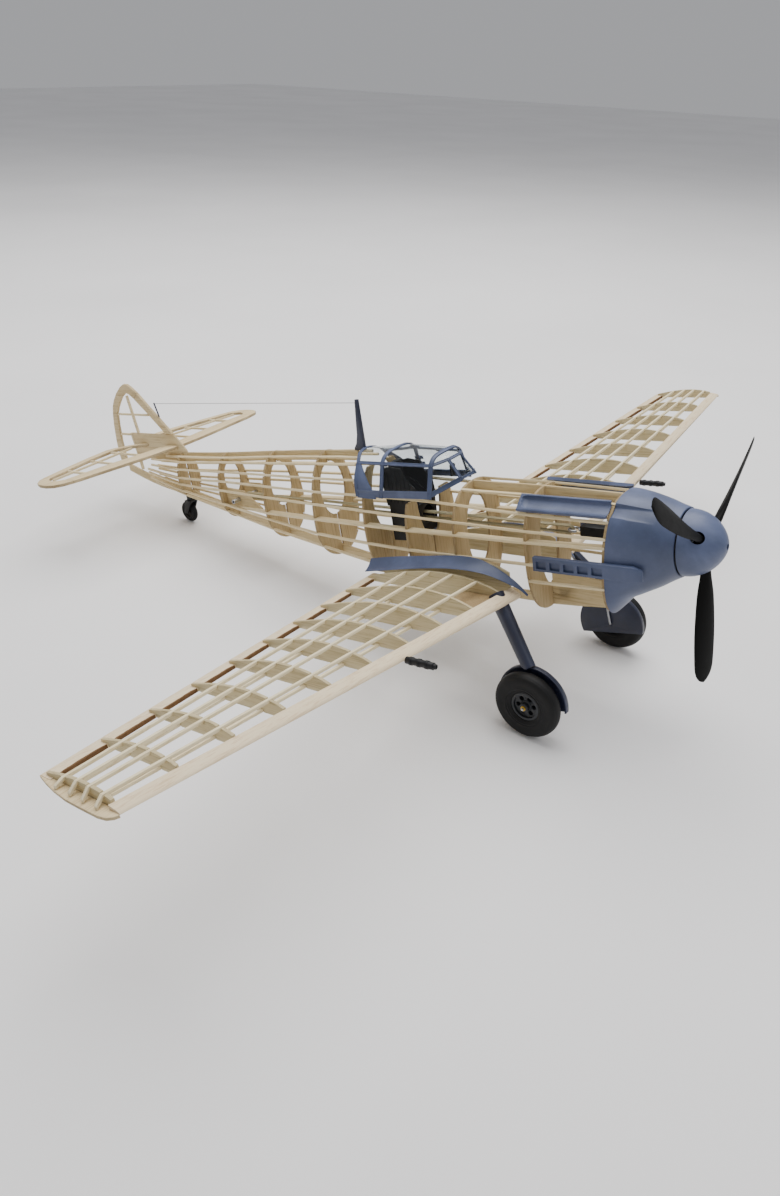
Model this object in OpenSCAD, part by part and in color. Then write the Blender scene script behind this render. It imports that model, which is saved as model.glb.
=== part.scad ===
// Stick-and-former model aeroplane, driven by a twisted rubber motor.
// The airframe is drawn in its flight datum: x forward, y to port, z up,
// the propeller shaft on the x axis. stance() then sets it down on its three wheels.

/* [Wood sizes] */
// Thickness of the balsa sheet used for formers, ribs and keels
sheet = 1.6; // [1.2:0.1:2]
// Side of the square balsa stringers
stick_w = 1.6; // [1.2:0.1:1.8]
// Slack left round a stick in its notch
slack = 0.3; // [0.2:0.05:0.4]

/* [Wing] */
// Half span to the outer face of the tip rib
tip_y = 301.7; // [260:0.1:330]
// Distance from the centre plane to the first open rib
first_rib_y = 37.3; // [34:0.1:42]
// Whole chord at the first open rib
root_chord = 111.6; // [95:0.1:125]
// Whole chord at the tip rib
tip_chord = 54.2; // [45:0.1:65]
// Rib thickness as a share of the chord
thickness_ratio = 0.126; // [0.1:0.002:0.15]
// Rise of the wing's underside for each millimetre of span
dihedral_rise = 0.1316; // [0.08:0.0001:0.16]

/* [Propeller] */
// Radius swept by the blade tips
prop_r = 81; // [60:1:95]
// Rest angle of the first blade, from straight up towards port
prop_turn = 63.7; // [0:0.1:120]
// Radius of the spinner at its open end
spinner_r = 18.2; // [16:0.1:19]

/* [Wheels] */
// Outer radius of the main tyres
main_r = 20.6; // [18:0.1:22]
// Distance of each main wheel from the centre plane
main_y = 58.5; // [56:0.5:66]
// Outer radius of the tail wheel
tail_r = 8.7; // [7:0.1:10]

/* [Hidden] */

BALSA = "#dcc9a0";
BALSA_DARK = "#c7ae84";
PAINT = "#66749c";
DARK_PAINT = "#3d4663";
BLACK = "#17181a";
STEEL = "#a9abad";
ALUMINIUM = "#c6c8ca";
CLEAR = [0.85, 0.92, 0.95, 0.35];
RUBBER = "#b59a66";
$fn = 48;
eps = 0.05;

// Wheel positions in the flight datum
main_x = 24.7;
main_z = -86.3;
tail_x = -322;
tail_z = -22.3;
wheel_base = norm([main_x - tail_x, main_z - tail_z]);
stance_angle = atan2(tail_z - main_z, main_x - tail_x) + asin((main_r - tail_r) / wheel_base);
// Point of the flight datum that lies over the origin once the model stands
datum_x = -136.6;
ground_z = main_z * cos(stance_angle) + main_x * sin(stance_angle) - main_r;

// Sets the model on its wheels, nose up, with z = 0 on the ground
module stance() {
    translate([-datum_x, 0, -ground_z]) rotate([0, -stance_angle, 0]) children();
}

// Smooth curve through a table of knots
function knot(x, xs, i = 0) = i >= len(xs) - 2 || x < xs[i + 1] ? i : knot(x, xs, i + 1);
function slope(i, xs, ys) =
    i == 0 ? (ys[1] - ys[0]) / (xs[1] - xs[0])
    : i == len(xs) - 1 ? (ys[i] - ys[i - 1]) / (xs[i] - xs[i - 1])
    : (ys[i + 1] - ys[i - 1]) / (xs[i + 1] - xs[i - 1]);
function curve(x, xs, ys) =
    let (i = knot(x, xs), h = xs[i + 1] - xs[i], t = (x - xs[i]) / h)
    let (a = slope(i, xs, ys) * h, b = slope(i + 1, xs, ys) * h)
    ys[i] * (2 * t ^ 3 - 3 * t ^ 2 + 1) + a * (t ^ 3 - 2 * t ^ 2 + t)
    + ys[i + 1] * (3 * t ^ 2 - 2 * t ^ 3) + b * (t ^ 3 - t ^ 2);

// Fuselage stations, tail to nose, and the shape of the frame there
station = [-400, -358, -311.4, -259.3, -206.5, -155.6, -108.6, -73, -37, 12.5, 61];
half_w = [1.5, 5.6, 10.8, 15.2, 20, 23, 25, 26.5, 26.6, 27, 24.6];
top_z = [24, 26, 28.3, 31, 34.9, 38, 38.5, 26, 25.1, 25.4, 24.6];
bottom_z = [12, -1, -9.5, -20, -30.5, -37.8, -44.5, -48, -50, -50.3, -45.4];
wide_z = [18, 12, 7, 1, -5, -9, -8, -7, -6, -6, -5];
roundness = [2, 2, 2, 2, 2.05, 2.1, 2.2, 2.4, 2.5, 2.5, 2.5];
former_x = [-311.4, -259.3, -206.5, -155.6, -108.6, -73, -37, 12.5];
// The front former and the cowl's open edge lean back towards the belly
lean = 4.5;
lean_x = 59;
lean_z = -10;
function lean_at(z) = lean_x + (z - lean_z) * tan(lean);

function section(x, a) =
    let (w = curve(x, station, half_w), m = curve(x, station, wide_z), p = 2 / curve(x, station, roundness))
    let (rise = a > 0 ? curve(x, station, top_z) - m : m - curve(x, station, bottom_z))
    [w * cos(a) ^ p, m + sign(a) * rise * abs(sin(a)) ^ p];
// Half width of the frame at height z
function side_y(x, z) =
    let (w = curve(x, station, half_w), m = curve(x, station, wide_z), n = curve(x, station, roundness))
    let (rise = z > m ? curve(x, station, top_z) - m : m - curve(x, station, bottom_z))
    w * (max(0, 1 - (abs(z - m) / rise) ^ n)) ^ (1 / n);
// Height of the upper outline at half width y
function deck_z(x, y) =
    let (w = curve(x, station, half_w), m = curve(x, station, wide_z), n = curve(x, station, roundness))
    m + (curve(x, station, top_z) - m) * (max(0, 1 - (y / w) ^ n)) ^ (1 / n);

// Stringers: stations and the height of each one there
long_x = [-356, -311.4, -259.3, -206.5, -155.6, -108.6, -73, -37, 12.5, 56];
stringer_runs = [
    [concat(long_x, [61.6]), [13.5, 10.5, 12.5, 13.8, 14.7, 16.4, 16.8, 16.4, 15.4, 14.8, 14.7]],
    [concat(long_x, [60.9]), [10.5, 5, 5.6, 6, 6.2, 6.6, 6.8, 6.6, 6.4, 6.1, 6]],
    [concat(long_x, [59.5]), [6, -1, -5.6, -10.6, -15.3, -16, -15.6, -15, -13.6, -13.1, -13]],
    [[-350, -311.4, -259.3, -206.5, -155.6, -119], [22, 22.4, 25.8, 29, 32, 34]],
    [[-350, -311.4, -259.3, -206.5, -155.6, -115], [17.5, 17, 19.4, 21.6, 23.4, 25.2]],
    [[-350, -311.4, -259.3, -206.5, -155.6, -108.6], [3, -5.4, -12.6, -19.8, -26.4, -33]],
    [[11.8, 30, 58.6], [-24.6, -24.4, -24]]
];
// Stringers beside the centre line: stations and half widths
rear_deck_x = [-330, -311.4, -259.3, -206.5, -155.6, -120];
rear_deck_y = [3.6, 4.6, 6, 6.9, 7.8, 8.2];
front_deck_x = [-37.6, -10, 12.5, 62.2];
front_deck_y = [12.2, 12.2, 12.2, 12];
inset = 0.6;

// Point of a stringer at station x, with the outward direction there
function normal_angle(x, z) =
    let (dy = side_y(x, z + 0.4) - side_y(x, z - 0.4))
    atan2(-dy, 0.8);
function side_point(x, z) =
    let (a = normal_angle(x, z))
    [x, side_y(x, z) - inset * cos(a), z - inset * sin(a), a];
function deck_point(x, y) =
    let (dz = deck_z(x, y + 0.4) - deck_z(x, y - 0.4), a = 90 + atan2(dz, 0.8))
    [x, y - inset * cos(a), deck_z(x, y) - inset * sin(a), a];
function run_point(run, x) = side_point(x, curve(x, run[0], run[1]));

// A square bar through points [x, y, z, angle of its outer face about x]
module bar(points, w) {
    h = w / 2;
    corners = [
        for (p = points, c = [[h, h], [h, -h], [-h, -h], [-h, h]])
            [p[0], p[1] + c[0] * cos(p[3]) - c[1] * sin(p[3]), p[2] + c[0] * sin(p[3]) + c[1] * cos(p[3])]
    ];
    n = len(points);
    skin = [
        for (i = [0 : n - 2], k = [0 : 3]) [
            4 * i + k, 4 * i + (k + 1) % 4, 4 * i + 4 + (k + 1) % 4, 4 * i + 4 + k
        ]
    ];
    tri = [for (f = skin, t = [[f[0], f[1], f[2]], [f[0], f[2], f[3]]]) t];
    caps = [[3, 2, 1], [3, 1, 0], [4 * n - 4, 4 * n - 3, 4 * n - 2], [4 * n - 4, 4 * n - 2, 4 * n - 1]];
    polyhedron(corners, concat(tri, caps));
}
function spread(xs, parts) = [
    for (i = [0 : len(xs) - 2], k = [0 : parts - 1]) xs[i] + (xs[i + 1] - xs[i]) * k / parts,
    xs[len(xs) - 1]
];

// Straight square stick between two points
module stick(p, q, w, t) {
    d = q - p;
    translate(p) rotate([0, acos(d[2] / norm(d)), atan2(d[1], d[0])])
        linear_extrude(norm(d)) square([t, w], center = true);
}
// Straight round rod between two points
module rod(p, q, r) {
    d = q - p;
    translate(p) rotate([0, acos(d[2] / norm(d)), atan2(d[1], d[0])]) cylinder(h = norm(d), r = r);
}
// A plate standing in the plane of a former, drawn as [y, z]
module cross_plate(x, t) {
    translate([x - t / 2, 0, 0]) rotate([90, 0, 90]) linear_extrude(t) children();
}
// A plate standing fore and aft, drawn as [x, z]
module long_plate(y, t) {
    translate([0, y + t / 2, 0]) rotate([90, 0, 0]) linear_extrude(t) children();
}
module both() {
    children();
    mirror([0, 1, 0]) children();
}
module side(port) {
    mirror([0, port ? 0 : 1, 0]) children();
}

// Former outline, slots and openings
keel_deep = 5;
function keel_z(x) = -4.6 + 0.0262 * (x + 155.6);
module outline(x) {
    half = [for (a = [-90 : 5 : 90]) section(x, a)];
    back = [for (i = [len(half) - 1 : -1 : 0]) [-half[i][0], half[i][1]]];
    polygon(concat(half, back));
}
module notch(p) {
    translate([p[1], p[2]]) rotate(p[3]) translate([-stick_w / 2 - slack, -stick_w / 2 - slack])
        square([3 * stick_w, stick_w + 2 * slack]);
}
module ellipse_hole(y, z, centre_z) {
    translate([0, centre_z]) polygon([for (a = [0 : 10 : 350]) [y * cos(a), z * sin(a)]]);
}
module half_notches(x) {
    for (run = stringer_runs) {
        xs = run[0];
        if (x > xs[0] - sheet && x < xs[len(xs) - 1] + sheet) notch(run_point(run, x));
    }
    if (x < -120) notch(deck_point(x, curve(x, rear_deck_x, rear_deck_y)));
    if (x > -38) notch(deck_point(x, curve(x, front_deck_x, front_deck_y)));
    if (x > -262) translate([side_y(x, keel_z(x)) - keel_deep - 0.2, keel_z(x) - sheet / 2 - 0.15])
        square([2 * keel_deep, sheet + 0.3]);
}
// opening: half width, half height and centre height of the oval; none when the width is 0
module former(x, opening, top_cut) {
    color(BALSA_DARK) stance() cross_plate(x, sheet) difference() {
        outline(x);
        half_notches(x);
        mirror([1, 0]) half_notches(x);
        square([sheet + 2 * eps, 200], center = true);
        if (opening[0] > 0) ellipse_hole(opening[0], opening[1], opening[2]);
        translate([-50, top_cut]) square([100, 60]);
    }
}
module former_1() former(former_x[0], [0, 0, 0], 90);
module former_2() former(former_x[1], [8, 13, 11], 90);
module former_3() former(former_x[2], [10.5, 16.5, 10.5], 90);
module former_4() former(former_x[3], [12.6, 19, 11], 90);
module former_5() former(former_x[4], [13.5, 25, 10], 33);
module former_6() former(former_x[5], [13, 34, 18], 14);
module former_7() former(former_x[6], [12.5, 24, -7], 90);
module former_8() former(former_x[7], [11, 26, -10], 90);
module former_9() color(BALSA_DARK) stance() translate([lean_x, 0, lean_z]) rotate([0, lean, 0])
    translate([-lean_x, 0, -lean_z]) cross_plate(lean_x, sheet) difference() {
        outline(lean_x);
        half_notches(lean_x);
        mirror([1, 0]) half_notches(lean_x);
        square([sheet + 2 * eps, 200], center = true);
        ellipse_hole(9, 12, -4);
    }

// Centre-plane keels
module keel_strip(xs, upper, depth) {
    outer = [for (x = xs) [x, upper ? curve(x, station, top_z) : curve(x, station, bottom_z)]];
    inner = [for (i = [len(xs) - 1 : -1 : 0]) [xs[i], outer[i][1] + (upper ? -depth : depth)]];
    polygon(concat(outer, inner));
}
module top_keels() color(BALSA) stance() {
    long_plate(0, sheet) keel_strip([for (x = [-306 : 12 : -120]) x], true, 7);
    long_plate(0, sheet) keel_strip([-36.5, -20, 0, 12.5, 30, 45, 61.6], true, 6);
}
module bottom_keel() color(BALSA) stance() long_plate(0, sheet) {
    keel_strip(concat([-388.8], [for (x = [-385 : 12 : -37]) x], [-25, -10, 12.5, 30, 45, 56.6]), false, 6.5);
    // deep front bay that stiffens the nose ahead of the wing
    polygon([[13.5, -42.2], [13.5, -28.8], [34, -29.4], [56.6, -31], [56.6, -42], [30, -45], [22, -43.8]]);
}

module side_keels() color(BALSA) stance() both() {
    xs = spread([-262, -206.5, -155.6, -108.6, -73, -37, 12.5, 60.4], 3);
    // its tail end is narrowed to let a stringer cross outside it
    outer = [for (x = xs) [x, side_y(x, keel_z(x)) - (x < -210 ? 1.9 : 0)]];
    inner = [for (i = [len(xs) - 1 : -1 : 0]) let (x = xs[i])
        [x, side_y(x, keel_z(x)) - (x < -210 ? 3.9 : keel_deep)]];
    tilt = atan(0.0262);
    translate([0, 0, keel_z(0) - sheet / 2]) rotate([0, -tilt, 0])
        linear_extrude(sheet) polygon(concat(outer, inner));
}
module stringers(port) color(BALSA) stance() side(port) {
    for (run = stringer_runs)
        bar([for (x = spread(run[0], 2)) run_point(run, x)], stick_w);
    bar([for (x = spread(rear_deck_x, 2)) deck_point(x, curve(x, rear_deck_x, rear_deck_y))], stick_w);
    bar([for (x = spread(front_deck_x, 2)) deck_point(x, curve(x, front_deck_x, front_deck_y))], stick_w);
}
module stringers_right() stringers(false);
module stringers_left() stringers(true);

// Rubber motor: peg, its plates, the loop, the shaft and its bearing
peg_x = -245;
peg_z = -2;
peg_r = 1.6;
module peg_plates() color(BALSA) stance() both() translate([0, 9.8, 0]) rotate([90, 0, 0])
    linear_extrude(sheet) difference() {
        polygon([[-258.3, 4.5], [-239, 5], [-222, -7.5], [-222, -9.5], [-258.3, -9.5]]);
        translate([peg_x, peg_z]) circle(peg_r + 0.03);
    }
module motor_peg() color(ALUMINIUM) stance() translate([peg_x, 0, peg_z]) rotate([90, 0, 0])
    difference() {
        cylinder(h = 32, r = peg_r, center = true);
        cylinder(h = 34, r = 1.1, center = true);
    }
hook_x = 30;
wire_r = 0.8;
loop_end = hook_x - 3;
strand = 0.9;
strand_gap = 2.2;
module stadium(long, r) {
    circle(r);
    translate([long, 0]) circle(r);
    translate([0, -r]) square([long, 2 * r]);
}
module rubber_motor() color(RUBBER) stance() translate([peg_x, 1.5, peg_z])
    rotate([0, atan2(peg_z, loop_end - peg_x), 0]) rotate([90, 0, 0]) linear_extrude(3) difference() {
        stadium(norm([loop_end - peg_x, peg_z]), strand_gap + strand / 2);
        stadium(norm([loop_end - peg_x, peg_z]), strand_gap - strand / 2);
    }
module thrust_bearing() color(BLACK) stance() difference() {
    union() {
        translate([90, 0, 0]) rotate([0, 90, 0]) cylinder(h = 2, r = 18.6);
        translate([44, 0, 0]) rotate([0, 90, 0]) cylinder(h = 47, r = 4.2);
        translate([36, -4.4, -3.6]) cube([24, 8.8, 7.6]);
    }
    translate([30, 0, 0]) rotate([0, 90, 0]) cylinder(h = 70, r = wire_r + 0.06);
}
module prop_shaft() color(STEEL) stance() {
    translate([33, 0, 0]) rotate([0, 90, 0]) cylinder(h = 71.8, r = wire_r);
    translate([hook_x, 0, 0]) rotate([0, 0, 40]) rotate_extrude(angle = 280)
        translate([3, 0]) circle(wire_r);
}

// Spinner and propeller
joint_x = 97;
hub_x = 106.6;
nose_x = 118;
shell = 1.2;
function ogive(t) = spinner_r * (1 - t ^ 2.1) ^ 0.62;
module spinner() color(PAINT) stance() difference() {
    translate([joint_x, 0, 0]) rotate([0, 90, 0]) rotate_extrude() difference() {
        polygon(concat([[0, 0]], [for (i = [0 : 12]) [ogive(i / 12), (nose_x - joint_x) * i / 12]]));
        polygon(concat(
            [[0, -1], [spinner_r - shell, -1]],
            [for (i = [0 : 10]) [ogive(i / 12) - shell, (nose_x - joint_x) * i / 12 - i * 0.12]],
            [[0, 14.5]]
        ));
    }
    translate([nose_x - 9, 0, 0]) rotate([0, 90, 0]) cylinder(h = 12, r = 1.6);
    for (k = [0 : 2]) translate([hub_x, 0, 0]) rotate([-prop_turn - 120 * k, 0, 0])
        cylinder(h = 40, r = 3.4);
}
function blade_chord(r) = curve(r, [7, 16, 30, 50, 66, 76, prop_r], [5, 5.4, 9.4, 12.6, 12.6, 10.8, 3]);
function blade_thick(r) = curve(r, [7, 16, 30, 50, 66, prop_r], [4.6, 4.2, 2.6, 1.8, 1.4, 0.7]);
function blade_pitch(r) = curve(r, [7, 16, 40, prop_r], [58, 53, 36, 21]);
blade_sides = 12;
function blade_ring(r) =
    let (c = blade_chord(r) / 2, t = blade_thick(r) / 2, b = blade_pitch(r))
    [for (i = [0 : blade_sides - 1])
        let (a = 360 * i / blade_sides, u = c * cos(a), v = t * sin(a))
        [-u * sin(b) + v * cos(b), u * cos(b) + v * sin(b), r]];
blade_r = [4.5, 7, 12, 16, 22, 30, 40, 50, 58, 66, 72, 76, 79, prop_r];
module blade() {
    pts = [for (r = blade_r, p = blade_ring(r)) p];
    n = len(blade_r);
    m = blade_sides;
    skin = [for (i = [0 : n - 2], k = [0 : m - 1], t = [
        [m * i + k, m * i + (k + 1) % m, m * i + m + (k + 1) % m],
        [m * i + k, m * i + m + (k + 1) % m, m * i + m + k]]) t];
    caps = [[for (k = [m - 1 : -1 : 0]) k], [for (k = [0 : m - 1]) m * (n - 1) + k]];
    polyhedron(pts, concat(skin, caps));
}
module propeller() color(BLACK) stance() translate([hub_x, 0, 0]) difference() {
    union() {
        translate([-5, 0, 0]) rotate([0, 90, 0]) cylinder(h = 8.5, r = 6.2);
        for (k = [0 : 2]) rotate([-prop_turn - 120 * k, 0, 0]) blade();
    }
    translate([-10, 0, 0]) rotate([0, 90, 0]) cylinder(h = 8.2, r = wire_r + 0.02);
}

// Nose cowl: a thin shell from the front former to the spinner
cowl_x = [60, 64, 69, 75, 85, 91, 96.2];
cowl_w = [25.3, 25.1, 24.7, 24, 21.9, 20.2, 18.9];
cowl_top = [26, 25.8, 25.2, 24.3, 22.3, 20.4, 18.9];
cowl_bottom = [-46.2, -41.2, -34.9, -31.3, -25.7, -21.9, -18.9];
cowl_mid = [-5, -4.8, -4.4, -3.5, -1.5, -0.5, 0];
cowl_round = [2.5, 2.5, 2.45, 2.35, 2.15, 2.05, 2];
cowl_sides = 48;
function cowl_point(x, a, inward) =
    let (m = curve(x, cowl_x, cowl_mid), p = 2 / curve(x, cowl_x, cowl_round), s = sin(a), c = cos(a))
    let (rise = s > 0 ? curve(x, cowl_x, cowl_top) - m : m - curve(x, cowl_x, cowl_bottom))
    let (z = m + sign(s) * (rise - inward) * abs(s) ^ p)
    [x + (z - lean_z) * tan(lean) * max(0, (85 - x) / (85 - cowl_x[0])),
        (curve(x, cowl_x, cowl_w) - inward) * sign(c) * abs(c) ^ p, z];
module ring_tube(rings) {
    n = len(rings);
    m = len(rings[0]);
    pts = [for (r = rings, p = r) p];
    faces = [for (i = [0 : n - 1], k = [0 : m - 1])
        let (a = m * i, b = m * ((i + 1) % n), j = (k + 1) % m)
        for (t = [[a + k, b + k, b + j], [a + k, b + j, a + j]]) t];
    polyhedron(pts, faces);
}
module cowl() color(PAINT) stance() {
    xs = [60, 62, 65, 68, 71, 75, 80, 85, 88, 91, 93.5, 96.2];
    wall = 0.9;
    outer = [for (x = xs) [for (k = [0 : cowl_sides - 1]) cowl_point(x, 360 * k / cowl_sides, 0)]];
    inner = [for (i = [len(xs) - 1 : -1 : 0])
        [for (k = [0 : cowl_sides - 1]) cowl_point(xs[i], 360 * k / cowl_sides, wall)]];
    ring_tube(concat(outer, inner));
}
side_taper = 3.2;
module exhaust_covers() color(PAINT) stance() both() {
    translate([19, 27.9, -14.8]) rotate([0, 0, -side_taper]) difference() {
        hull() {
            translate([0, 0, 0]) cube([58, 3, 8.4]);
            cube([63, 0.8, 6.4]);
        }
        for (i = [0 : 4]) translate([2 + 8.3 * i, 1.4, 1.4]) cube([6, 4, 4.6]);
    }
}
trough_tilt = 50;
module gun_troughs() color(PAINT) stance() both() {
    translate([6.4, 18.3, 20.4]) rotate([trough_tilt - 90, 0, -side_taper / 2]) difference() {
        translate([0, -5.5, -0.1]) cube([54.4, 11, 2.2]);
        translate([5, -2.6, 0.7]) cube([60, 5.6, 4]);
    }
}

// Canopy: a thin moulding over three bays, pierced by its windows. Port-side points
rail_rear = [-111.6, 24, 15.6];
rail_mid = [-92, 24.4, 15.8];
rail_front = [-54.6, 23.2, 18];
screen_low = [-39.2, 7.6, 27.4];
screen_high = [-48.4, 6.2, 39.6];
arch_rear = [[-113.6, 20.9, 26.5], [-115.4, 13.8, 36], [-117.8, 7.6, 40.4], [-118.9, 0, 41.9]];
arch_mid = [[-92, 17.6, 37.9], [-92, 14.4, 41.8], [-92, 10.8, 43.8], [-92, 5.6, 44.6], [-92, 0, 44.8]];
arch_front = [[-55, 16.2, 38.2], [-55, 13.2, 41.8], [-55, 9.8, 43.4], [-55, 5, 44], [-55, 0, 44.2]];
canopy_wall = 0.9;
glass_lift = 3.2;
glass_wall = 0.7;
function in_by(p, d) = [p[0], max(0, p[1] - d), p[2] - d];
function row_in(points, d) = [for (p = points) in_by(p, d)];
function moved(points, d) = [for (p = points) p + [d, 0, 0]];
// open is true for the hollow cut out of a shell, which runs on past its foot and its rear edge
module bay(points) hull() for (p = points, s = [-1, 1]) translate([p[0], s * p[1], p[2]]) cube(0.02);
// Foot of a side wall, moved along the wall's own slope by rise in z
function foot_at(rail, arch, d, rise) = let (a = in_by(arch, d), f = in_by(rail, d) + [0, 0, d])
    f + (a - f) * rise / (a[2] - f[2]);
module canopy_form(d, open, lift = 0) {
    rise = open ? -6 : lift;
    low = screen_low + [-1.25 * d, -d, 0] + (open ? [3.4, 0.6, -4.6] : [0, 0, 0]);
    high = screen_high + [-0.55 * d, -0.6 * d, -0.8 * d];
    back_row = moved(concat([foot_at(rail_rear, arch_rear[0], d, rise)], row_in(arch_rear, d)), open ? -3 : 0);
    middle = concat([foot_at(rail_mid, arch_mid[0], d, rise)], row_in(arch_mid, d));
    front = concat([foot_at(rail_front, arch_front[0], d, rise)], row_in(arch_front, d));
    bay(concat(back_row, middle));
    bay(concat(moved(middle, -0.4), moved(front, 0.4)));
    bay(concat([low, high], front));
}
module canopy_windows() {
    both() {
        long_plate(20, 30) polygon([[-108.4, 36], [-94.2, 37], [-94.2, 22.4], [-97.6, 21.6]]);
        long_plate(20, 30) polygon([[-89.8, 21.6], [-57, 22], [-57, 36], [-89.8, 36]]);
        long_plate(20, 38) polygon([[-52.6, 23.4], [-42.4, 29.2], [-48.6, 37.2], [-52.6, 36.4]]);
    }
    translate([0, 0, 30]) linear_extrude(20)
        polygon([[-116.4, 10], [-94.2, 12.8], [-94.2, -12.8], [-116.4, -10]]);
    translate([-89.8, -12.2, 30]) cube([32.6, 24.4, 20]);
    translate([0, 0, 38]) linear_extrude(20) polygon([[-52.6, 10.8], [-50.4, 6], [-50.4, -6], [-52.6, -10.8]]);
    cross_plate(-41, 16) polygon([[-6.2, 29.4], [6.2, 29.4], [4.8, 37.6], [-4.8, 37.6]]);
}
module canopy_frame() color(PAINT) stance() difference() {
    canopy_form(0, false);
    canopy_form(canopy_wall, true);
    canopy_windows();
}
module canopy_glazing() color(CLEAR) stance() difference() {
    canopy_form(canopy_wall + 0.15, false, glass_lift);
    canopy_form(canopy_wall + 0.15 + glass_wall, true);
}
// Black card cockpit: back, pan, cheeks and front apron, pierced for the motor
tub_half = 9;
module tub_wall(x, low, high) translate([x, 0, 0]) rotate([90, 0, 90]) linear_extrude(1.2) difference() {
    translate([-tub_half, low]) square([2 * tub_half, high - low]);
    circle(6);
}
module cockpit_seat() color(BLACK) stance() {
    tub_wall(-98.4, -18, 33);
    tub_wall(-75.2, -12, 7);
    translate([-97.2, -tub_half, 7]) cube([23.2, 2 * tub_half, 1.2]);
    translate([-97.2, -5, 24]) cube([3, 10, 10]);
    both() long_plate(tub_half - 0.6, 1.2)
        polygon([[-97.2, -18], [-97.2, 20], [-91, 20], [-76, 10], [-75.2, 7], [-75.2, -12], [-82, -17]]);
}

// Aerial
mast_top = [-121.4, 0, 71.1];
post_top = [-333.6, 0, 67];
module radio_mast() color(DARK_PAINT) stance() long_plate(0, 1.8) polygon([
    [-128.2, 39.6], [-128.2, 41], [-126, 44.1], [-124.3, 50.1], [-123.7, 56], [-121.6, 73.4],
    [-119.3, 73.4], [-119.2, 39.6]
]);
module aerial_post() color(DARK_PAINT) stance() rod([-331, 0, 56.1], post_top + [0, 0, 0.6], 0.6);
module aerial_wire() color(STEEL) stance() rod(mast_top - [0.56, 0, 0], post_top + [0.66, 0, 0], 0.2);

// Wing
rib_count = 10;
rib_pitch = (tip_y - sheet - first_rib_y) / (rib_count - 1);
function rib_y(i) = first_rib_y + rib_pitch * i;
function along(y) = (y - first_rib_y) / (tip_y - first_rib_y);
function chord(y) = root_chord + (tip_chord - root_chord) * along(y);
function nose_edge(y) = 8 - 3 * along(y);
function under_z(y) = -35.3 + dihedral_rise * (y - first_rib_y);
te_high = 2.2;
function rib_high(s, y) = te_high + (thickness_ratio * chord(y) - te_high) * sin(180 * s ^ 0.77);
le_wide = 6.5;
te_wide = 8;
te_thick = 1.8;
function at_chord(s, y) = nose_edge(y) - s * chord(y);
top_lines = [0.215, 0.37, 0.52, 0.69];
under_lines = [0.29, 0.635];
module rib_notch(s, y, z) {
    wide = stick_w + 2 * slack + 0.2;
    translate([at_chord(s, y) - wide / 2, z]) square([wide, stick_w + 0.6]);
}
module rib(y) {
    ym = y + sheet / 2;
    front = at_chord(0, ym) - le_wide - eps;
    rear = at_chord(1, ym) + te_wide + eps;
    s0 = (nose_edge(ym) - front) / chord(ym);
    s1 = 1 - 3.4 / chord(ym);
    low = under_z(ym);
    translate([0, y + sheet, 0]) rotate([90, 0, 0]) linear_extrude(sheet) difference() {
        polygon(concat(
            [for (i = [0 : 20]) let (s = s0 + (s1 - s0) * i / 20) [at_chord(s, ym), low + rib_high(s, ym)]],
            [[at_chord(s1, ym), low + te_thick + 0.15], [rear, low + te_thick + 0.15], [rear, low + 0.2],
                [front, low + 0.2]]
        ));
        for (s = top_lines) rib_notch(s, ym, under_z(ym) + rib_high(s, ym) - stick_w - 0.1);
        for (s = under_lines) rib_notch(s, ym, under_z(ym) - 0.5);
    }
}
root_y = 27.5;
module ribs(port) color(BALSA) stance() side(port) {
    for (i = [0 : rib_count - 1]) rib(rib_y(i));
    translate([0, root_y + 1, 0]) rotate([90, 0, 0]) linear_extrude(1)
        polygon([[-104, -29.8], [-90, -25.6], [-72, -21.8], [-50, -18], [-36, -16.2], [-22, -14.8], [-14, -15],
            [-6, -16.6], [1.2, -19.6], [1.2, -35], [-95, -35], [-95, -33], [-104, -33]]);
}
module ribs_right() ribs(false);
module ribs_left() ribs(true);
module edge_slice(y, outline2d) translate([0, y, 0]) rotate([90, 0, 0]) linear_extrude(0.01) polygon(outline2d);
function le_outline(y) = let (x = nose_edge(y), z = under_z(y), h = thickness_ratio * chord(y)) [
    [x - le_wide, z + 0.2], [x - 1.2, z + h * 0.1], [x, z + h * 0.22], [x - 1, z + h * 0.36],
    [x - le_wide, z + h * 0.53]
];
function te_outline(y) = let (x = at_chord(1, y), z = under_z(y)) [
    [x, z + 0.5], [x, z + 1.3], [x + 1.5, z + te_thick], [x + te_wide, z + te_thick], [x + te_wide, z]
];
edge_end = 303.2;
module leading_edge(port) color(BALSA) stance() side(port) hull() {
    edge_slice(28.7, le_outline(28.7));
    edge_slice(edge_end, le_outline(edge_end));
}
module trailing_edge(port) color(BALSA) stance() side(port) hull() {
    edge_slice(28.7, te_outline(28.7));
    edge_slice(edge_end, te_outline(edge_end));
}
module leading_edge_right() leading_edge(false);
module leading_edge_left() leading_edge(true);
module trailing_edge_right() trailing_edge(false);
module trailing_edge_left() trailing_edge(true);
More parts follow.
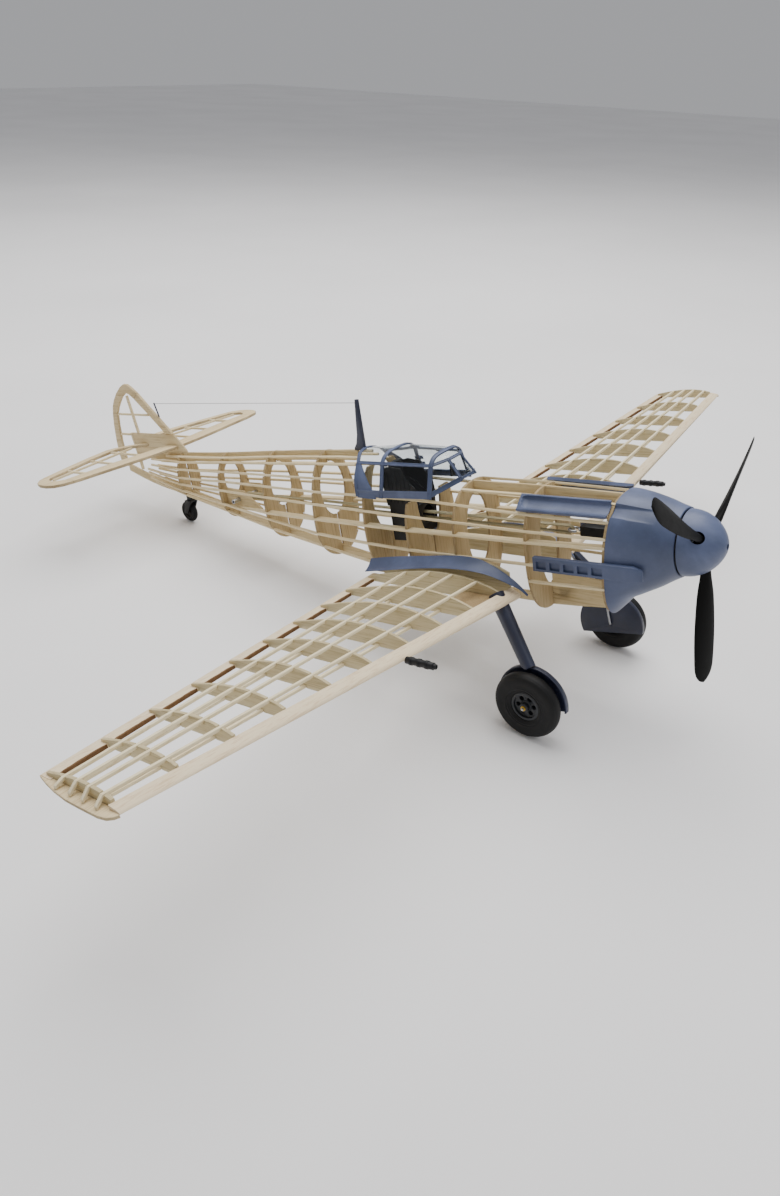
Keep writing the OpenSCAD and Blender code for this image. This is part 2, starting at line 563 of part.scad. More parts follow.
// Flat tip piece: a curved blank between the edges, outside the last rib
tip_thick = 1.6;
tip_out = 308;
module wing_tip(port) color(BALSA) stance() side(port) {
    y0 = tip_y + 0.1;
    z0 = under_z(tip_y) + 0.2;
    lead = nose_edge(edge_end) - le_wide - eps;
    trail = at_chord(1, edge_end) + te_wide + eps;
    translate([0, 0, z0]) linear_extrude(tip_thick) polygon([
        [lead, y0], [lead, edge_end + eps], [nose_edge(edge_end), edge_end + eps],
        [3.8, 305.4], [1.4, 307.2], [-3, 308], [-14, 308], [-24, 307.8], [-34, 306.6], [-42, 305],
        [at_chord(1, edge_end), edge_end + eps], [trail, edge_end + eps], [trail, y0]
    ]);
}
module wing_tip_right() wing_tip(false);
module wing_tip_left() wing_tip(true);
function wing_line(s, y) = [at_chord(s, y), y, under_z(y) + rib_high(s, y) - stick_w / 2];
function under_line(s, y) = [at_chord(s, y), y, under_z(y) + 0.2 + stick_w / 2];
// A square bar whose sections stand in planes of constant y
module span_bar(points, w) {
    rotate([0, 0, 90]) bar([for (p = points) [p[1], -p[0], p[2], 0]], w);
}
module wing_stringers(port) color(BALSA) stance() side(port) {
    for (s = top_lines) span_bar([
        wing_line(s, first_rib_y + 0.1), wing_line(s, tip_y + 0.2),
        [at_chord(s, tip_y) + (0.5 - s) * 3, 306, under_z(tip_y) + 0.2 + tip_thick + stick_w / 2 + 0.05]
    ], stick_w);
    for (s = under_lines) span_bar([under_line(s, first_rib_y + 0.1), under_line(s, tip_y - 0.1)], stick_w);
}
module wing_stringers_right() wing_stringers(false);
module wing_stringers_left() wing_stringers(true);

// Painted saddle between the fuselage side and the first rib
fillet_x = [-104, -90, -73, -55, -40, -28, -18, -9, -2, 4, 9, 13];
fillet_high = [-25.4, -22.6, -19.8, -17.2, -15, -14, -14.6, -17.6, -21, -24.6, -28.6, -32.6];
fillet_low = [-31.4, -28.6, -25.2, -22, -19.9, -19, -19, -20.1, -22.2, -25.4, -28.8, -33.4];
fillet_out = [37, 37.4, 37.6, 37.6, 37.6, 37.6, 37.4, 36.8, 36, 34, 31.6, 29.6];
fillet_cols = 6;
fillet_wall = 0.7;
function fillet_point(i, k, up) =
    let (t = k / (fillet_cols - 1), y0 = root_y + 1.1)
    [fillet_x[i], y0 + (fillet_out[i] - y0) * t + up * fillet_wall * 0.5 * (1 - t),
        fillet_low[i] + (fillet_high[i] - fillet_low[i]) * (1 - t) ^ 1.7 + 0.9 + up * fillet_wall];
module wing_fillets() color(PAINT) stance() both() {
    rows = len(fillet_x);
    cols = fillet_cols;
    pts = [for (up = [0, 1], i = [0 : rows - 1], k = [0 : cols - 1]) fillet_point(i, k, up)];
    size = rows * cols;
    top = [for (i = [0 : rows - 2], k = [0 : cols - 2]) let (a = i * cols + k, b = a + cols)
        for (t = [[a, b, b + 1], [a, b + 1, a + 1]]) t];
    under = [for (t = top) [t[0], t[2], t[1]]];
    rim = concat(
        [for (k = [0 : cols - 2]) [k, k + 1]],
        [for (i = [0 : rows - 2]) [i * cols + cols - 1, (i + 1) * cols + cols - 1]],
        [for (k = [cols - 1 : -1 : 1]) [(rows - 1) * cols + k, (rows - 1) * cols + k - 1]],
        [for (i = [rows - 1 : -1 : 1]) [i * cols, (i - 1) * cols]]
    );
    walls = [for (e = rim, t = [[e[0], e[1], e[1] + size], [e[0], e[1] + size, e[0] + size]]) t];
    upper = [for (t = top) [t[0] + size, t[1] + size, t[2] + size]];
    flip_walls = [for (t = walls) [t[0], t[2], t[1]]];
    polyhedron(pts, concat([for (t = top) [t[0], t[2], t[1]]], upper, flip_walls));
}
cannon_y = 138.4;
cannon_z = -19.2;
module wing_cannons() color(BLACK) stance() both() translate([8.6, cannon_y, cannon_z]) rotate([0, 90, 0])
    difference() {
        union() {
            cylinder(h = 16.5, r = 1.9);
            cylinder(h = 18, r = 1.3);
            for (i = [0 : 2]) translate([0, 0, 2.2 + 4.8 * i]) cylinder(h = 1.6, r = 2.2);
        }
        translate([0, 0, 14]) cylinder(h = 6, r = 0.7);
    }

// Undercarriage
leg_top = [0.4, 40.5, -31.6];
leg_low = [21.6, 51.2, -61.6];
cover_y = main_y - 7;
function plate_end(x, z) = [[-24, z + 2.6], [x, z + 2.6], [x, z + 4.6], [-24, z + 4.6]];
module gear_plates() color(BALSA_DARK) stance() both() hull() {
    edge_slice(rib_y(0) + sheet + 0.1, plate_end(1.2, under_z(rib_y(0))));
    edge_slice(rib_y(1) - 0.1, plate_end(0.8, under_z(rib_y(1))));
}
wire_anchor = [-6, 44.4, -32.9];
function leg_mix(t) = leg_top + (leg_low - leg_top) * t;
module gear_legs() color(DARK_PAINT) stance() both() {
    d = leg_low - leg_top;
    difference() {
        translate(leg_top) rotate([0, acos(d[2] / norm(d)), atan2(d[1], d[0])]) difference() {
            cylinder(h = norm(d) + 8, r = 4.1);
            translate([0, 0, -1]) cylinder(h = norm(d) + 10, r = 3.1);
            rotate([0, 0, -35]) translate([0.4, -10, -1]) cube([20, 20, norm(d) + 10]);
        }
        translate([-20, 20, -35.3]) cube([60, 60, 20]);
        // its foot sits on the rim of the wheel cover
        translate([main_x, main_y + 10, main_z]) rotate([90, 0, 0]) cylinder(h = 40, r = cover_r + 0.1);
        rod(wire_anchor, leg_mix(0.16), wire_r + 0.1);
    }
}
axle_end = main_y + 6.4;
module gear_wires() color(STEEL) stance() both() {
    knee = leg_mix(0.16);
    bend = [main_x, cover_y - 2.1, main_z];
    rod(wire_anchor, knee, wire_r);
    translate(knee) sphere(r = wire_r);
    rod(knee, bend, wire_r);
    translate(bend) sphere(r = wire_r);
    rod(bend, [main_x, axle_end, main_z], wire_r);
}
cover_r = 22;
cover_low = -6.4;
cover_slope = 7;
module wheel_covers() color(DARK_PAINT) stance() both() {
    translate([main_x, cover_y + 1.9, main_z]) rotate([90, 0, 0]) difference() {
        cylinder(h = 3.1, r = cover_r);
        translate([0, 0, -1]) cylinder(h = 3, r = cover_r - 1.1);
        translate([0, 0, -1]) cylinder(h = 6, r = wire_r + 0.03);
        translate([0, cover_low, -5]) rotate(cover_slope) translate([-30, -60, 0]) cube([60, 60, 20]);
    }
}
tyre_half = 4.9;
rim_r = 9;
module tyre(port) color(BLACK) stance() side(port) translate([main_x, main_y, main_z]) rotate([90, 0, 0])
    rotate_extrude() difference() {
        polygon(concat([[rim_r, -3.4]], [for (a = [-90 : 15 : 90])
            [15 + (main_r - 15) * cos(a) ^ 0.8, tyre_half * sin(a)]], [[rim_r, 3.4]]));
    }
module tyre_right() tyre(false);
module tyre_left() tyre(true);
module hub(port) color(DARK_PAINT) stance() side(port) translate([main_x, main_y, main_z]) rotate([-90, 0, 0])
    difference() {
        union() {
            translate([0, 0, -3.3]) cylinder(h = 5.8, r = rim_r - 0.02);
            translate([0, 0, -4.4]) cylinder(h = 9.2, r = 2.6);
            translate([0, 0, 2.4]) cylinder(h = 0.8, r = rim_r - 0.1);
        }
        translate([0, 0, 1.6]) difference() {
            cylinder(h = 5, r = 7.4);
            cylinder(h = 5, r = 2.6);
        }
        for (k = [0 : 5]) rotate(60 * k) translate([5, 0, -2]) cylinder(h = 8, r = 1.5);
        translate([0, 0, -6]) cylinder(h = 14, r = wire_r + 0.06);
    }
module hub_right() hub(false);
module hub_left() hub(true);
module tail_strut() color(BLACK) stance() {
    difference() {
        union() {
            translate([tail_x + 2.4, -1.7, -12.4]) cube([6, 3.4, 8.8]);
            translate([tail_x + 1.8, -3.9, -13.2]) cube([7.2, 7.8, 1.6]);
        }
        translate([tail_x - 2, -0.83, -9.6]) cube([14, 1.66, 20]);
    }
    for (s = [-1, 1]) hull() {
        translate([tail_x + 5.3, s * 3.3, -12.6]) cube([7, 1.2, 1], center = true);
        translate([tail_x, s * 3.3, tail_z]) cube([4, 1.2, 1.4], center = true);
    }
    translate([tail_x, 0, tail_z]) rotate([90, 0, 0]) cylinder(h = 7.8, r = 0.8, center = true);
}
module tail_wheel() color(BLACK) stance() translate([tail_x, 0, tail_z]) rotate([90, 0, 0])
    difference() {
        rotate_extrude() polygon(concat([[0, -1.6], [4.6, -1.6]], [for (a = [-75 : 15 : 75])
            [tail_r - 2.6 + 2.6 * cos(a), 2.2 * sin(a)]], [[4.6, 1.6], [0, 1.6]]));
        cylinder(h = 10, r = 0.86, center = true);
    }

// Tail surfaces
stab_z = 31.4;
stab_t = 2.4;
plate_t = 1.6;
stab_in = plate_t / 2 + 0.05;
module flat(z, t) translate([0, 0, z]) linear_extrude(t) children();
function stab_lead(y) = curve(y, [0, 25, 48, 73, 91], [-329.4, -331.4, -335.2, -336.8, -337.4]);
function stab_rear(y) = -375.8 + 0.2 * y;
function stab_spar(y) = -363.5 + 0.1335 * y;
module stabiliser_frame() color(BALSA) stance() both() flat(stab_z, stab_t) {
    polygon(concat(
        [[-315.2, stab_in], [-317, 26], [-320.3, 50.7], [-322.8, 66.2], [-325, 84], [-326.6, 91]],
        [for (y = [91, 73, 60, 48, 36, 25, 12, stab_in]) [stab_lead(y), y]]
    ));
    polygon([[-326.7, 91.2], [-329.2, 99], [-333.6, 103.8], [-340, 106.2], [-348, 106.2], [-355, 103.8],
        [-360.4, 99], [-362.8, 94.4], [-356.2, 92], [-353, 95.4], [-347.4, 97.2], [-341.6, 95.6],
        [-337.5, 91.2]]);
    polygon([[-362.9, 94.2], [-367, 80], [-372, 62], [-376.6, 43], [-379.4, 25], [-376.8, 17], [-371, 9.6],
        [-361, stab_in], [-353, stab_in], [-363.6, 9], [-370.4, 17], [-372, 24], [-369.4, 43], [-365, 61],
        [-360, 79], [-356.3, 91.9]]);
}
module stabiliser_ribs() color(BALSA) stance() both() flat(stab_z + 0.4, sheet) {
    for (y = [25, 48, 72.5]) {
        polygon([[stab_lead(y) - 0.5, y], [stab_lead(y) - 0.5, y + 1.6], [stab_spar(y) + 1.2, y + 1.6],
            [stab_spar(y) + 1.2, y]]);
        polygon([[stab_spar(y) - 0.9, y], [stab_spar(y) - 0.9, y + 1.6], [stab_rear(y), y + 1.6],
            [stab_rear(y), y]]);
    }
    polygon([[stab_spar(12) - 0.8, 12], [stab_spar(93) - 0.8, 93], [stab_spar(93) + 0.8, 93],
        [stab_spar(12) + 0.8, 12]]);
}
fin_t = 2.4;
module fin_frame() color(BALSA) stance() long_plate(0, fin_t) {
    polygon([[-396.4, 12.4], [-397.4, 22], [-396.6, 34], [-394, 48], [-391, 58.4], [-385.2, 58.4], [-387.8, 48],
        [-389.8, 34], [-390.2, 22], [-389.4, 12.4]]);
    polygon([[-390.9, 58.6], [-388.6, 64], [-384.6, 69.4], [-379, 75], [-372, 80], [-366.6, 82.4],
        [-362.4, 82.2], [-358.4, 80], [-352, 75.2], [-357.4, 70.8], [-361.4, 73.8], [-364.6, 75],
        [-368.6, 74.4], [-373.4, 71.6], [-378.4, 66.8], [-382.4, 62.4], [-384.8, 58.6]]);
    polygon([[-351.8, 75], [-342, 65.4], [-328, 51.8], [-318.4, 42.6], [-327, 42.6], [-334.4, 49.8],
        [-347, 61.6], [-357.2, 70.6]]);
}
module fin_ribs() color(BALSA) stance() {
    long_plate(0, 1.8) polygon([[-367.9, 72.6], [-366.1, 73.2], [-362.9, 42.4], [-365, 42.4]]);
    long_plate(0, 1.8) polygon([[-374.4, 42], [-372.2, 42], [-370.4, 26], [-369.6, 10.5], [-371.8, 10.5],
        [-372.6, 26]]);
    stick([-384.9, 0, 57.4], [-367.4, 0, 57.4], 1.6, 1.6);
    stick([-363.6, 0, 57.4], [-344.2, 0, 57.4], 1.6, 1.6);
    stick([-388.4, 0, 40.4], [-374.5, 0, 40.4], 1.6, 1.6);
}
module fin_plate() color(BALSA) stance() long_plate(0, plate_t)
    polygon([[-372, 42.1], [-318, 42.3], [-307, 30.8], [-306.2, 28.9], [-306.2, 21], [-369.6, 21]]);

former_1();
former_2();
former_3();
former_4();
former_5();
former_6();
former_7();
former_8();
former_9();
top_keels();
bottom_keel();
side_keels();
stringers_right();
stringers_left();
peg_plates();
motor_peg();
rubber_motor();
thrust_bearing();
prop_shaft();
spinner();
propeller();
cowl();
exhaust_covers();
gun_troughs();
canopy_frame();
canopy_glazing();
cockpit_seat();
radio_mast();
aerial_wire();
aerial_post();
ribs_right();
ribs_left();
leading_edge_right();
leading_edge_left();
trailing_edge_right();
trailing_edge_left();
wing_tip_right();
wing_tip_left();
wing_stringers_right();
wing_stringers_left();
wing_fillets();
wing_cannons();
gear_plates();
gear_legs();
gear_wires();
wheel_covers();
tyre_right();
tyre_left();
hub_right();
hub_left();
tail_strut();
tail_wheel();
stabiliser_frame();
stabiliser_ribs();
fin_frame();
fin_ribs();
fin_plate();
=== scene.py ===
import math
import random
import bmesh
import bpy
from mathutils import Matrix, Vector


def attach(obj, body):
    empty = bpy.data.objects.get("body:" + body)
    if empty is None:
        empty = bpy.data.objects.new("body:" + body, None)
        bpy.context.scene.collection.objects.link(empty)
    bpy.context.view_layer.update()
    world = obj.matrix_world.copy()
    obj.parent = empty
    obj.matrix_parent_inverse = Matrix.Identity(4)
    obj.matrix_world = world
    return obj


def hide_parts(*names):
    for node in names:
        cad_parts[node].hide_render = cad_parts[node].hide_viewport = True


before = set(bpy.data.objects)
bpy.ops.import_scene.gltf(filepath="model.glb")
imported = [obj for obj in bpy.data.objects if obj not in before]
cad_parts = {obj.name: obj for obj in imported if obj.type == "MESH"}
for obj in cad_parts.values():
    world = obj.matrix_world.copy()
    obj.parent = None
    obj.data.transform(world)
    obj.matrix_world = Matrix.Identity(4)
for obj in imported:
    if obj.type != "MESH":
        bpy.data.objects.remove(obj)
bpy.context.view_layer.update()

# ---------------------------------------------------------------- flight datum to row frame
STANCE = math.radians(12.393217)
DATUM_X = -136.6
MAIN_X, MAIN_Y, MAIN_Z, MAIN_R = 24.7, 58.5, -86.3, 20.6
GROUND_Z = MAIN_Z * math.cos(STANCE) + MAIN_X * math.sin(STANCE) - MAIN_R
CS, SN = math.cos(STANCE), math.sin(STANCE)


def A(x, y, z):
    """Flight datum in mm to the row frame in m."""
    return Vector(((x * CS - z * SN - DATUM_X) / 1000, y / 1000, (x * SN + z * CS - GROUND_Z) / 1000))


# ---------------------------------------------------------------- camera
def make_camera():
    """The photograph's own camera, as solved from it."""
    eye = (0.3559817, -0.4333245, 0.3421413)
    right = Vector((0.7935106, 0.60797671, 0.02655652))
    down = Vector((0.33895286, -0.40530434, -0.84902259))
    ahead = Vector((-0.50542249, 0.68270983, -0.52768873))
    data = bpy.data.cameras.new("camera")
    data.lens, data.sensor_width, data.sensor_fit = 26.95, 36, "AUTO"
    data.clip_start, data.clip_end = 0.01, 50
    cam = bpy.data.objects.new("camera", data)
    bpy.context.scene.collection.objects.link(cam)
    turn = Matrix((right, -down, -ahead)).transposed()
    cam.matrix_world = Matrix.Translation(eye) @ turn.to_4x4()
    bpy.context.scene.camera = cam


make_camera()


# ---------------------------------------------------------------- materials
def linear(code):
    parts = [int(code[i:i + 2], 16) / 255 for i in (0, 2, 4)]
    return [c / 12.92 if c <= 0.04045 else ((c + 0.055) / 1.055) ** 2.4 for c in parts] + [1]


# Dark brown of the painted shade on the narrow cut faces of the sheet parts.
PAINTED_EDGE_SHADE = "5A3E22"


class Mat:
    """A node material being put together."""

    def __init__(self, name, **fixed):
        self.m = bpy.data.materials.new(name)
        self.m.use_nodes = True
        self.t = self.m.node_tree
        self.n, self.l = self.t.nodes, self.t.links
        self.shader = self.n["Principled BSDF"]
        for key, value in fixed.items():
            self.shader.inputs[key.replace("_", " ")].default_value = value

    def node(self, kind, values=None, **settings):
        made = self.n.new(kind)
        for key, value in settings.items():
            setattr(made, key, value)
        for key, value in (values or {}).items():
            if isinstance(value, bpy.types.NodeSocket):
                self.l.new(value, made.inputs[key])
            else:
                made.inputs[key].default_value = value
        return made

    def place(self, scale, turn=(0, 0, 0)):
        """Object coordinates, turned to the flight datum and then stretched."""
        coord = self.node("ShaderNodeTexCoord")
        level = self.node("ShaderNodeMapping", {0: coord.outputs["Object"], "Rotation": (0, STANCE, 0)})
        turned = self.node("ShaderNodeMapping", {0: level.outputs[0], "Rotation": turn})
        return self.node("ShaderNodeMapping", {0: turned.outputs[0], "Scale": scale}).outputs[0]

    def noise(self, place, scale=1.0, detail=4.0, rough=0.55, warp=0.0):
        return self.node("ShaderNodeTexNoise", {"Vector": place, "Scale": scale, "Detail": detail,
                                                "Roughness": rough, "Distortion": warp}).outputs["Fac"]

    def ramp(self, value, *stops):
        made = self.node("ShaderNodeValToRGB", {0: value})
        band = made.color_ramp
        for i, (at, colour) in enumerate(stops):
            stop = band.elements[i] if i < 2 else band.elements.new(at)
            stop.position = at
            stop.color = linear(colour) if isinstance(colour, str) else (colour, colour, colour, 1)
        return made.outputs[0]

    def mix(self, share, a, b, how="MIX"):
        made = self.node("ShaderNodeMix", {}, data_type="RGBA", blend_type=how)
        for key, value in (("Factor", share), ("A", a), ("B", b)):
            kind = "VALUE" if key == "Factor" else "RGBA"
            socket = [s for s in made.inputs if s.name == key and s.type == kind][0]
            if isinstance(value, bpy.types.NodeSocket):
                self.l.new(value, socket)
            else:
                socket.default_value = value
        return [s for s in made.outputs if s.type == "RGBA"][0]

    def math(self, how, a, b=0.5):
        return self.node("ShaderNodeMath", {0: a, 1: b}, operation=how).outputs[0]

    def bump(self, height, strength, distance, before=None):
        values = {"Height": height, "Strength": strength, "Distance": distance}
        if before is not None:
            values["Normal"] = before
        return self.node("ShaderNodeBump", values).outputs[0]

    def out(self, **links):
        for key, value in links.items():
            self.l.new(value, self.shader.inputs[key.replace("_", " ")])
        return self.m


def wood(name, pale, mid, dark, grain, fleck=0.5, shade=0.0, face=None, edge_shade=0.0):
    """Balsa: long soft bands, fine fibres and short dark pores, all along the grain. A sheet part whose broad faces
    look along `face` has its narrow cut edges darkened by the share given last: painted shade, in a dark brown."""
    m = Mat(name, Specular_IOR_Level=0.28, Coat_Weight=0.0)
    long_way = {"x": (1, 9, 9), "y": (9, 1, 9), "z": (9, 9, 1)}[grain]
    at = m.place([8 * s for s in long_way])
    band = m.noise(at, 1.6, 5, 0.6, 0.4)
    fibre = m.noise(m.place([26 * s * (1 if s == 1 else 4.4) for s in long_way]), 1, 3, 0.7)
    pore = m.noise(m.place([90 * s * (1 if s == 1 else 1.5) for s in long_way]), 1, 2, 0.5)
    patch = m.noise(m.place((13, 13, 13)), 1, 3, 0.5)
    base = m.ramp(band, (0.3, mid), (0.52, pale), (0.75, mid))
    streak = m.ramp(fibre, (0.34, dark), (0.5, pale), (0.72, pale))
    colour = m.mix(0.42, base, streak)
    spots = m.ramp(pore, (0.62, 0.0), (0.74, 1.0))
    colour = m.mix(m.math("MULTIPLY", spots, fleck), colour, linear(dark))
    tone = m.ramp(patch, (0.3, 0.0), (0.75, 1.0))
    colour = m.mix(m.math("MULTIPLY", tone, 0.3), colour, linear(mid))
    if shade:
        colour = m.mix(shade, colour, linear(dark))
    # Painted shade: the narrow cut faces of a sheet part are darkened unevenly towards the dark brown.
    if edge_shade:
        across = {"x": (CS, 0, SN), "y": (0, 1, 0), "z": (-SN, 0, CS)}[face]
        way = m.node("ShaderNodeVectorMath", {0: m.node("ShaderNodeTexCoord").outputs["Normal"], 1: across},
                     operation="DOT_PRODUCT").outputs["Value"]
        cut = m.ramp(m.math("ABSOLUTE", way), (0.3, 1.0), (0.7, 0.0))
        uneven = m.ramp(m.noise(m.place((45, 45, 45)), 1, 4, 0.6), (0.35, 0.35), (0.6, 1.0))
        share = m.math("MULTIPLY", m.math("MULTIPLY", cut, uneven), edge_shade)
        colour = m.mix(share, colour, linear(PAINTED_EDGE_SHADE))
    rough = m.ramp(fibre, (0.3, 0.78), (0.7, 0.6))
    normal = m.bump(fibre, 0.45, 0.0002, m.bump(pore, 0.3, 0.0002))
    return m.out(Base_Color=colour, Roughness=rough, Normal=normal)


def painted(name, pale, mid, dark, rough=0.42, coat=0.12, grit=0.35):
    """Vacuum-formed sheet in a satin colour: soft mottling, orange peel, rubbed places and dust."""
    m = Mat(name, Coat_Weight=coat, Coat_Roughness=0.35, Specular_IOR_Level=0.5)
    cloud = m.noise(m.place((22, 22, 22)), 1, 5, 0.6, 0.3)
    fine = m.noise(m.place((900, 900, 900)), 1, 2, 0.5)
    peel = m.noise(m.place((260, 260, 260)), 1, 3, 0.5)
    scuff = m.noise(m.place((60, 260, 260)), 1, 6, 0.75, 1.2)
    colour = m.ramp(cloud, (0.3, dark), (0.5, mid), (0.72, pale))
    colour = m.mix(m.math("MULTIPLY", m.ramp(scuff, (0.64, 0.0), (0.8, 1.0)), 0.28), colour, linear(pale))
    colour = m.mix(m.math("MULTIPLY", m.ramp(fine, (0.6, 0.0), (0.9, 1.0)), grit), colour, linear(pale))
    shine = m.node("ShaderNodeMapRange", {"Value": scuff, "To Min": rough - 0.06, "To Max": rough + 0.1})
    normal = m.bump(peel, 0.12, 0.0002, m.bump(fine, 0.08, 0.0001))
    return m.out(Base_Color=colour, Roughness=shine.outputs[0], Normal=normal)


def dark_plastic(name, base, light, rough, grain=700, bumpy=0.2, coat=0.0, shine=0.5):
    """Moulded plastic or rubber: cloudy tone, fine grain and lighter dust."""
    m = Mat(name, Specular_IOR_Level=shine, Coat_Weight=coat, Coat_Roughness=0.3)
    cloud = m.noise(m.place((40, 40, 40)), 1, 5, 0.6)
    fine = m.noise(m.place((grain, grain, grain)), 1, 3, 0.6)
    dust = m.noise(m.place((150, 150, 150)), 1, 6, 0.8, 0.8)
    colour = m.mix(cloud, linear(base), linear(light))
    colour = m.mix(m.math("MULTIPLY", m.ramp(dust, (0.62, 0.0), (0.8, 1.0)), 0.35), colour, linear(light))
    worn = m.node("ShaderNodeMapRange", {"Value": dust, "To Min": rough - 0.08, "To Max": rough + 0.14})
    return m.out(Base_Color=colour, Roughness=worn.outputs[0], Normal=m.bump(fine, bumpy, 0.0002))


def metal(name, base, tint, rough, scale=(60, 900, 900)):
    """Drawn metal: fine lines along the axis with the smallest scale, with faint stains."""
    m = Mat(name, Metallic=1.0)
    line = m.noise(m.place(scale), 1, 4, 0.7)
    stain = m.noise(m.place((120, 120, 120)), 1, 4, 0.6)
    colour = m.mix(stain, linear(base), linear(tint))
    shine = m.node("ShaderNodeMapRange", {"Value": line, "To Min": rough - 0.08, "To Max": rough + 0.15})
    return m.out(Base_Color=colour, Roughness=shine.outputs[0], Normal=m.bump(line, 0.15, 0.0001))


def clear(name):
    """Thin moulded glazing with slight haze and waves."""
    m = Mat(name, Transmission_Weight=1.0, IOR=1.12, Specular_IOR_Level=0.8, Coat_Weight=0.25, Coat_Roughness=0.05)
    haze = m.noise(m.place((55, 55, 55)), 1, 4, 0.6, 0.5)
    wave = m.noise(m.place((38, 38, 38)), 1, 2, 0.4)
    colour = m.ramp(haze, (0.3, "F4F7F8"), (0.75, "E2E8EA"))
    shine = m.node("ShaderNodeMapRange", {"Value": haze, "To Min": 0.02, "To Max": 0.09})
    return m.out(Base_Color=colour, Roughness=shine.outputs[0], Normal=m.bump(wave, 0.25, 0.001))


MATERIALS = {
    # Formers and ribs get darker balsa tones, matched to their faces in shade: painted shade.
    "sheet_former": wood("sheet_former", "C4AE84", "AC9468", "765C38", "z", 0.55, 0.0, "x", 0.5),
    "sheet_keel": wood("sheet_keel", "D6C296", "C0A878", "876B40", "x", 0.6, 0.0, "y", 0.25),
    "sheet_rib": wood("sheet_rib", "CDBF98", "B5A47C", "85724A", "x", 0.6, 0.0, "y", 0.1),
    "sheet_flat": wood("sheet_flat", "E2CFA6", "D0BA8E", "98794C", "y", 0.4, 0.0, "z", 0.55),
    "sheet_fin": wood("sheet_fin", "DAC69B", "C6B084", "8E7248", "x", 0.5, 0.0, "y", 0.3),
    "edge": wood("edge", "EBDABB", "DFC9A4", "B89668", "y", 0.3),
    "strip_x": wood("strip_x", "E9D9B2", "DAC596", "A58A5C", "x", 0.35),
    "strip_y": wood("strip_y", "ECE0BF", "DECEA4", "AE9466", "y", 0.3),
    # Dark brown balsa for the painted shade strips inside the trailing edges.
    "painted_te_shade": wood("painted_te_shade", "6E4E2C", "5A3D20", "3A2612", "y", 0.4),
    "paint": painted("paint", "646F91", "4A5573", "3B455F", 0.46, 0.08, 0.2),
    "dark_paint": painted("dark_paint", "2A3049", "1F2438", "171A2A", 0.38, 0.15, 0.1),
    "black": dark_plastic("black", "070708", "131416", 0.45, 700, 0.2, 0.0, 0.35),
    "prop_black": dark_plastic("prop_black", "030302", "080706", 0.55, 500, 0.12, 0.0, 0.12),
    "tyre": dark_plastic("tyre", "050505", "0F0F10", 0.55, 420, 0.3, 0.0, 0.3),
    "hub": dark_plastic("hub", "17191C", "2A2C30", 0.45, 600, 0.2),
    "wire": metal("wire", "B7B8BA", "8E9093", 0.32),
    "brass": metal("brass", "D0A94C", "9A7B35", 0.3),
    "tube": metal("tube", "D2D4D6", "AEB1B4", 0.34, (900, 60, 900)),
    "rubber": dark_plastic("rubber", "8F8462", "B0A684", 0.6, 900, 0.3),
    "clear": clear("clear"),
}

NODE_LOOK = {
    "sheet_former": ["former_%d" % i for i in range(1, 10)] + ["gear_plates"],
    "sheet_keel": ["top_keels", "bottom_keel", "peg_plates"],
    "sheet_rib": ["ribs_right", "ribs_left"],
    "sheet_fin": ["fin_plate", "fin_frame"],
    "sheet_flat": ["stabiliser_frame", "wing_tip_right", "wing_tip_left"],
    "strip_x": ["side_keels", "stringers_right", "stringers_left", "stabiliser_ribs", "fin_ribs"],
    "edge": ["leading_edge_right", "leading_edge_left", "trailing_edge_right", "trailing_edge_left"],
    "strip_y": ["wing_stringers_right", "wing_stringers_left"],
    "paint": ["spinner", "cowl", "exhaust_covers", "gun_troughs", "canopy_frame", "wing_fillets"],
    "dark_paint": ["gear_legs", "wheel_covers", "radio_mast", "aerial_post"],
    "black": ["thrust_bearing", "cockpit_seat", "wing_cannons", "tail_strut"],
    "prop_black": ["propeller"],
    "tyre": ["tyre_right", "tyre_left", "tail_wheel"],
    "hub": ["hub_right", "hub_left"],
    "wire": ["prop_shaft", "gear_wires", "aerial_wire"],
    "tube": ["motor_peg"],
    "rubber": ["rubber_motor"],
    "clear": ["canopy_glazing"],
}
BEVEL = {"sheet_former": 0.12, "sheet_keel": 0.12, "sheet_rib": 0.12, "sheet_flat": 0.3, "sheet_fin": 0.25,
         "strip_x": 0.16, "edge": 0.3, "strip_y": 0.16, "paint": 0.14, "dark_paint": 0.12, "black": 0.12,
         "hub": 0.12}


WELD_WITHIN = 2e-6
BEVEL_ANGLE = math.radians(34)


def bevel(obj, width):
    """Welds the split corners and rounds the sharp edges by width in mm."""
    weld = obj.modifiers.new("weld", "WELD")
    weld.merge_threshold = WELD_WITHIN
    soft = obj.modifiers.new("bevel", "BEVEL")
    soft.width, soft.segments = width / 1000, 2
    soft.limit_method, soft.angle_limit = "ANGLE", BEVEL_ANGLE
    soft.use_clamp_overlap, soft.harden_normals = True, True


def dress(obj, look):
    """Gives a CAD node its material, and its bevel where the look has one."""
    obj.data.materials.clear()
    obj.data.materials.append(MATERIALS[look])
    for face in obj.data.polygons:
        face.material_index = 0
        face.use_smooth = True
    if look in BEVEL:
        bevel(obj, BEVEL[look])


for look, names in NODE_LOOK.items():
    for name in names:
        dress(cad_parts[name], look)

# ---------------------------------------------------------------- shared shape helpers
AIRFRAME, PROP = "airframe", "propeller_set"
SAME_POINT = 1e-7


def curve(x, xs, ys):
    """Smooth curve through a table of knots."""
    i = 0
    while i < len(xs) - 2 and x >= xs[i + 1]:
        i += 1

    def slope(k):
        lo, hi = max(0, k - 1), min(len(xs) - 1, k + 1)
        return (ys[hi] - ys[lo]) / (xs[hi] - xs[lo])
    h = xs[i + 1] - xs[i]
    t = (x - xs[i]) / h
    return (ys[i] * (2 * t ** 3 - 3 * t ** 2 + 1) + slope(i) * h * (t ** 3 - 2 * t ** 2 + t)
            + ys[i + 1] * (3 * t ** 2 - 2 * t ** 3) + slope(i + 1) * h * (t ** 3 - t ** 2))


def span(a, b, n):
    return [a + (b - a) * i / n for i in range(n + 1)]


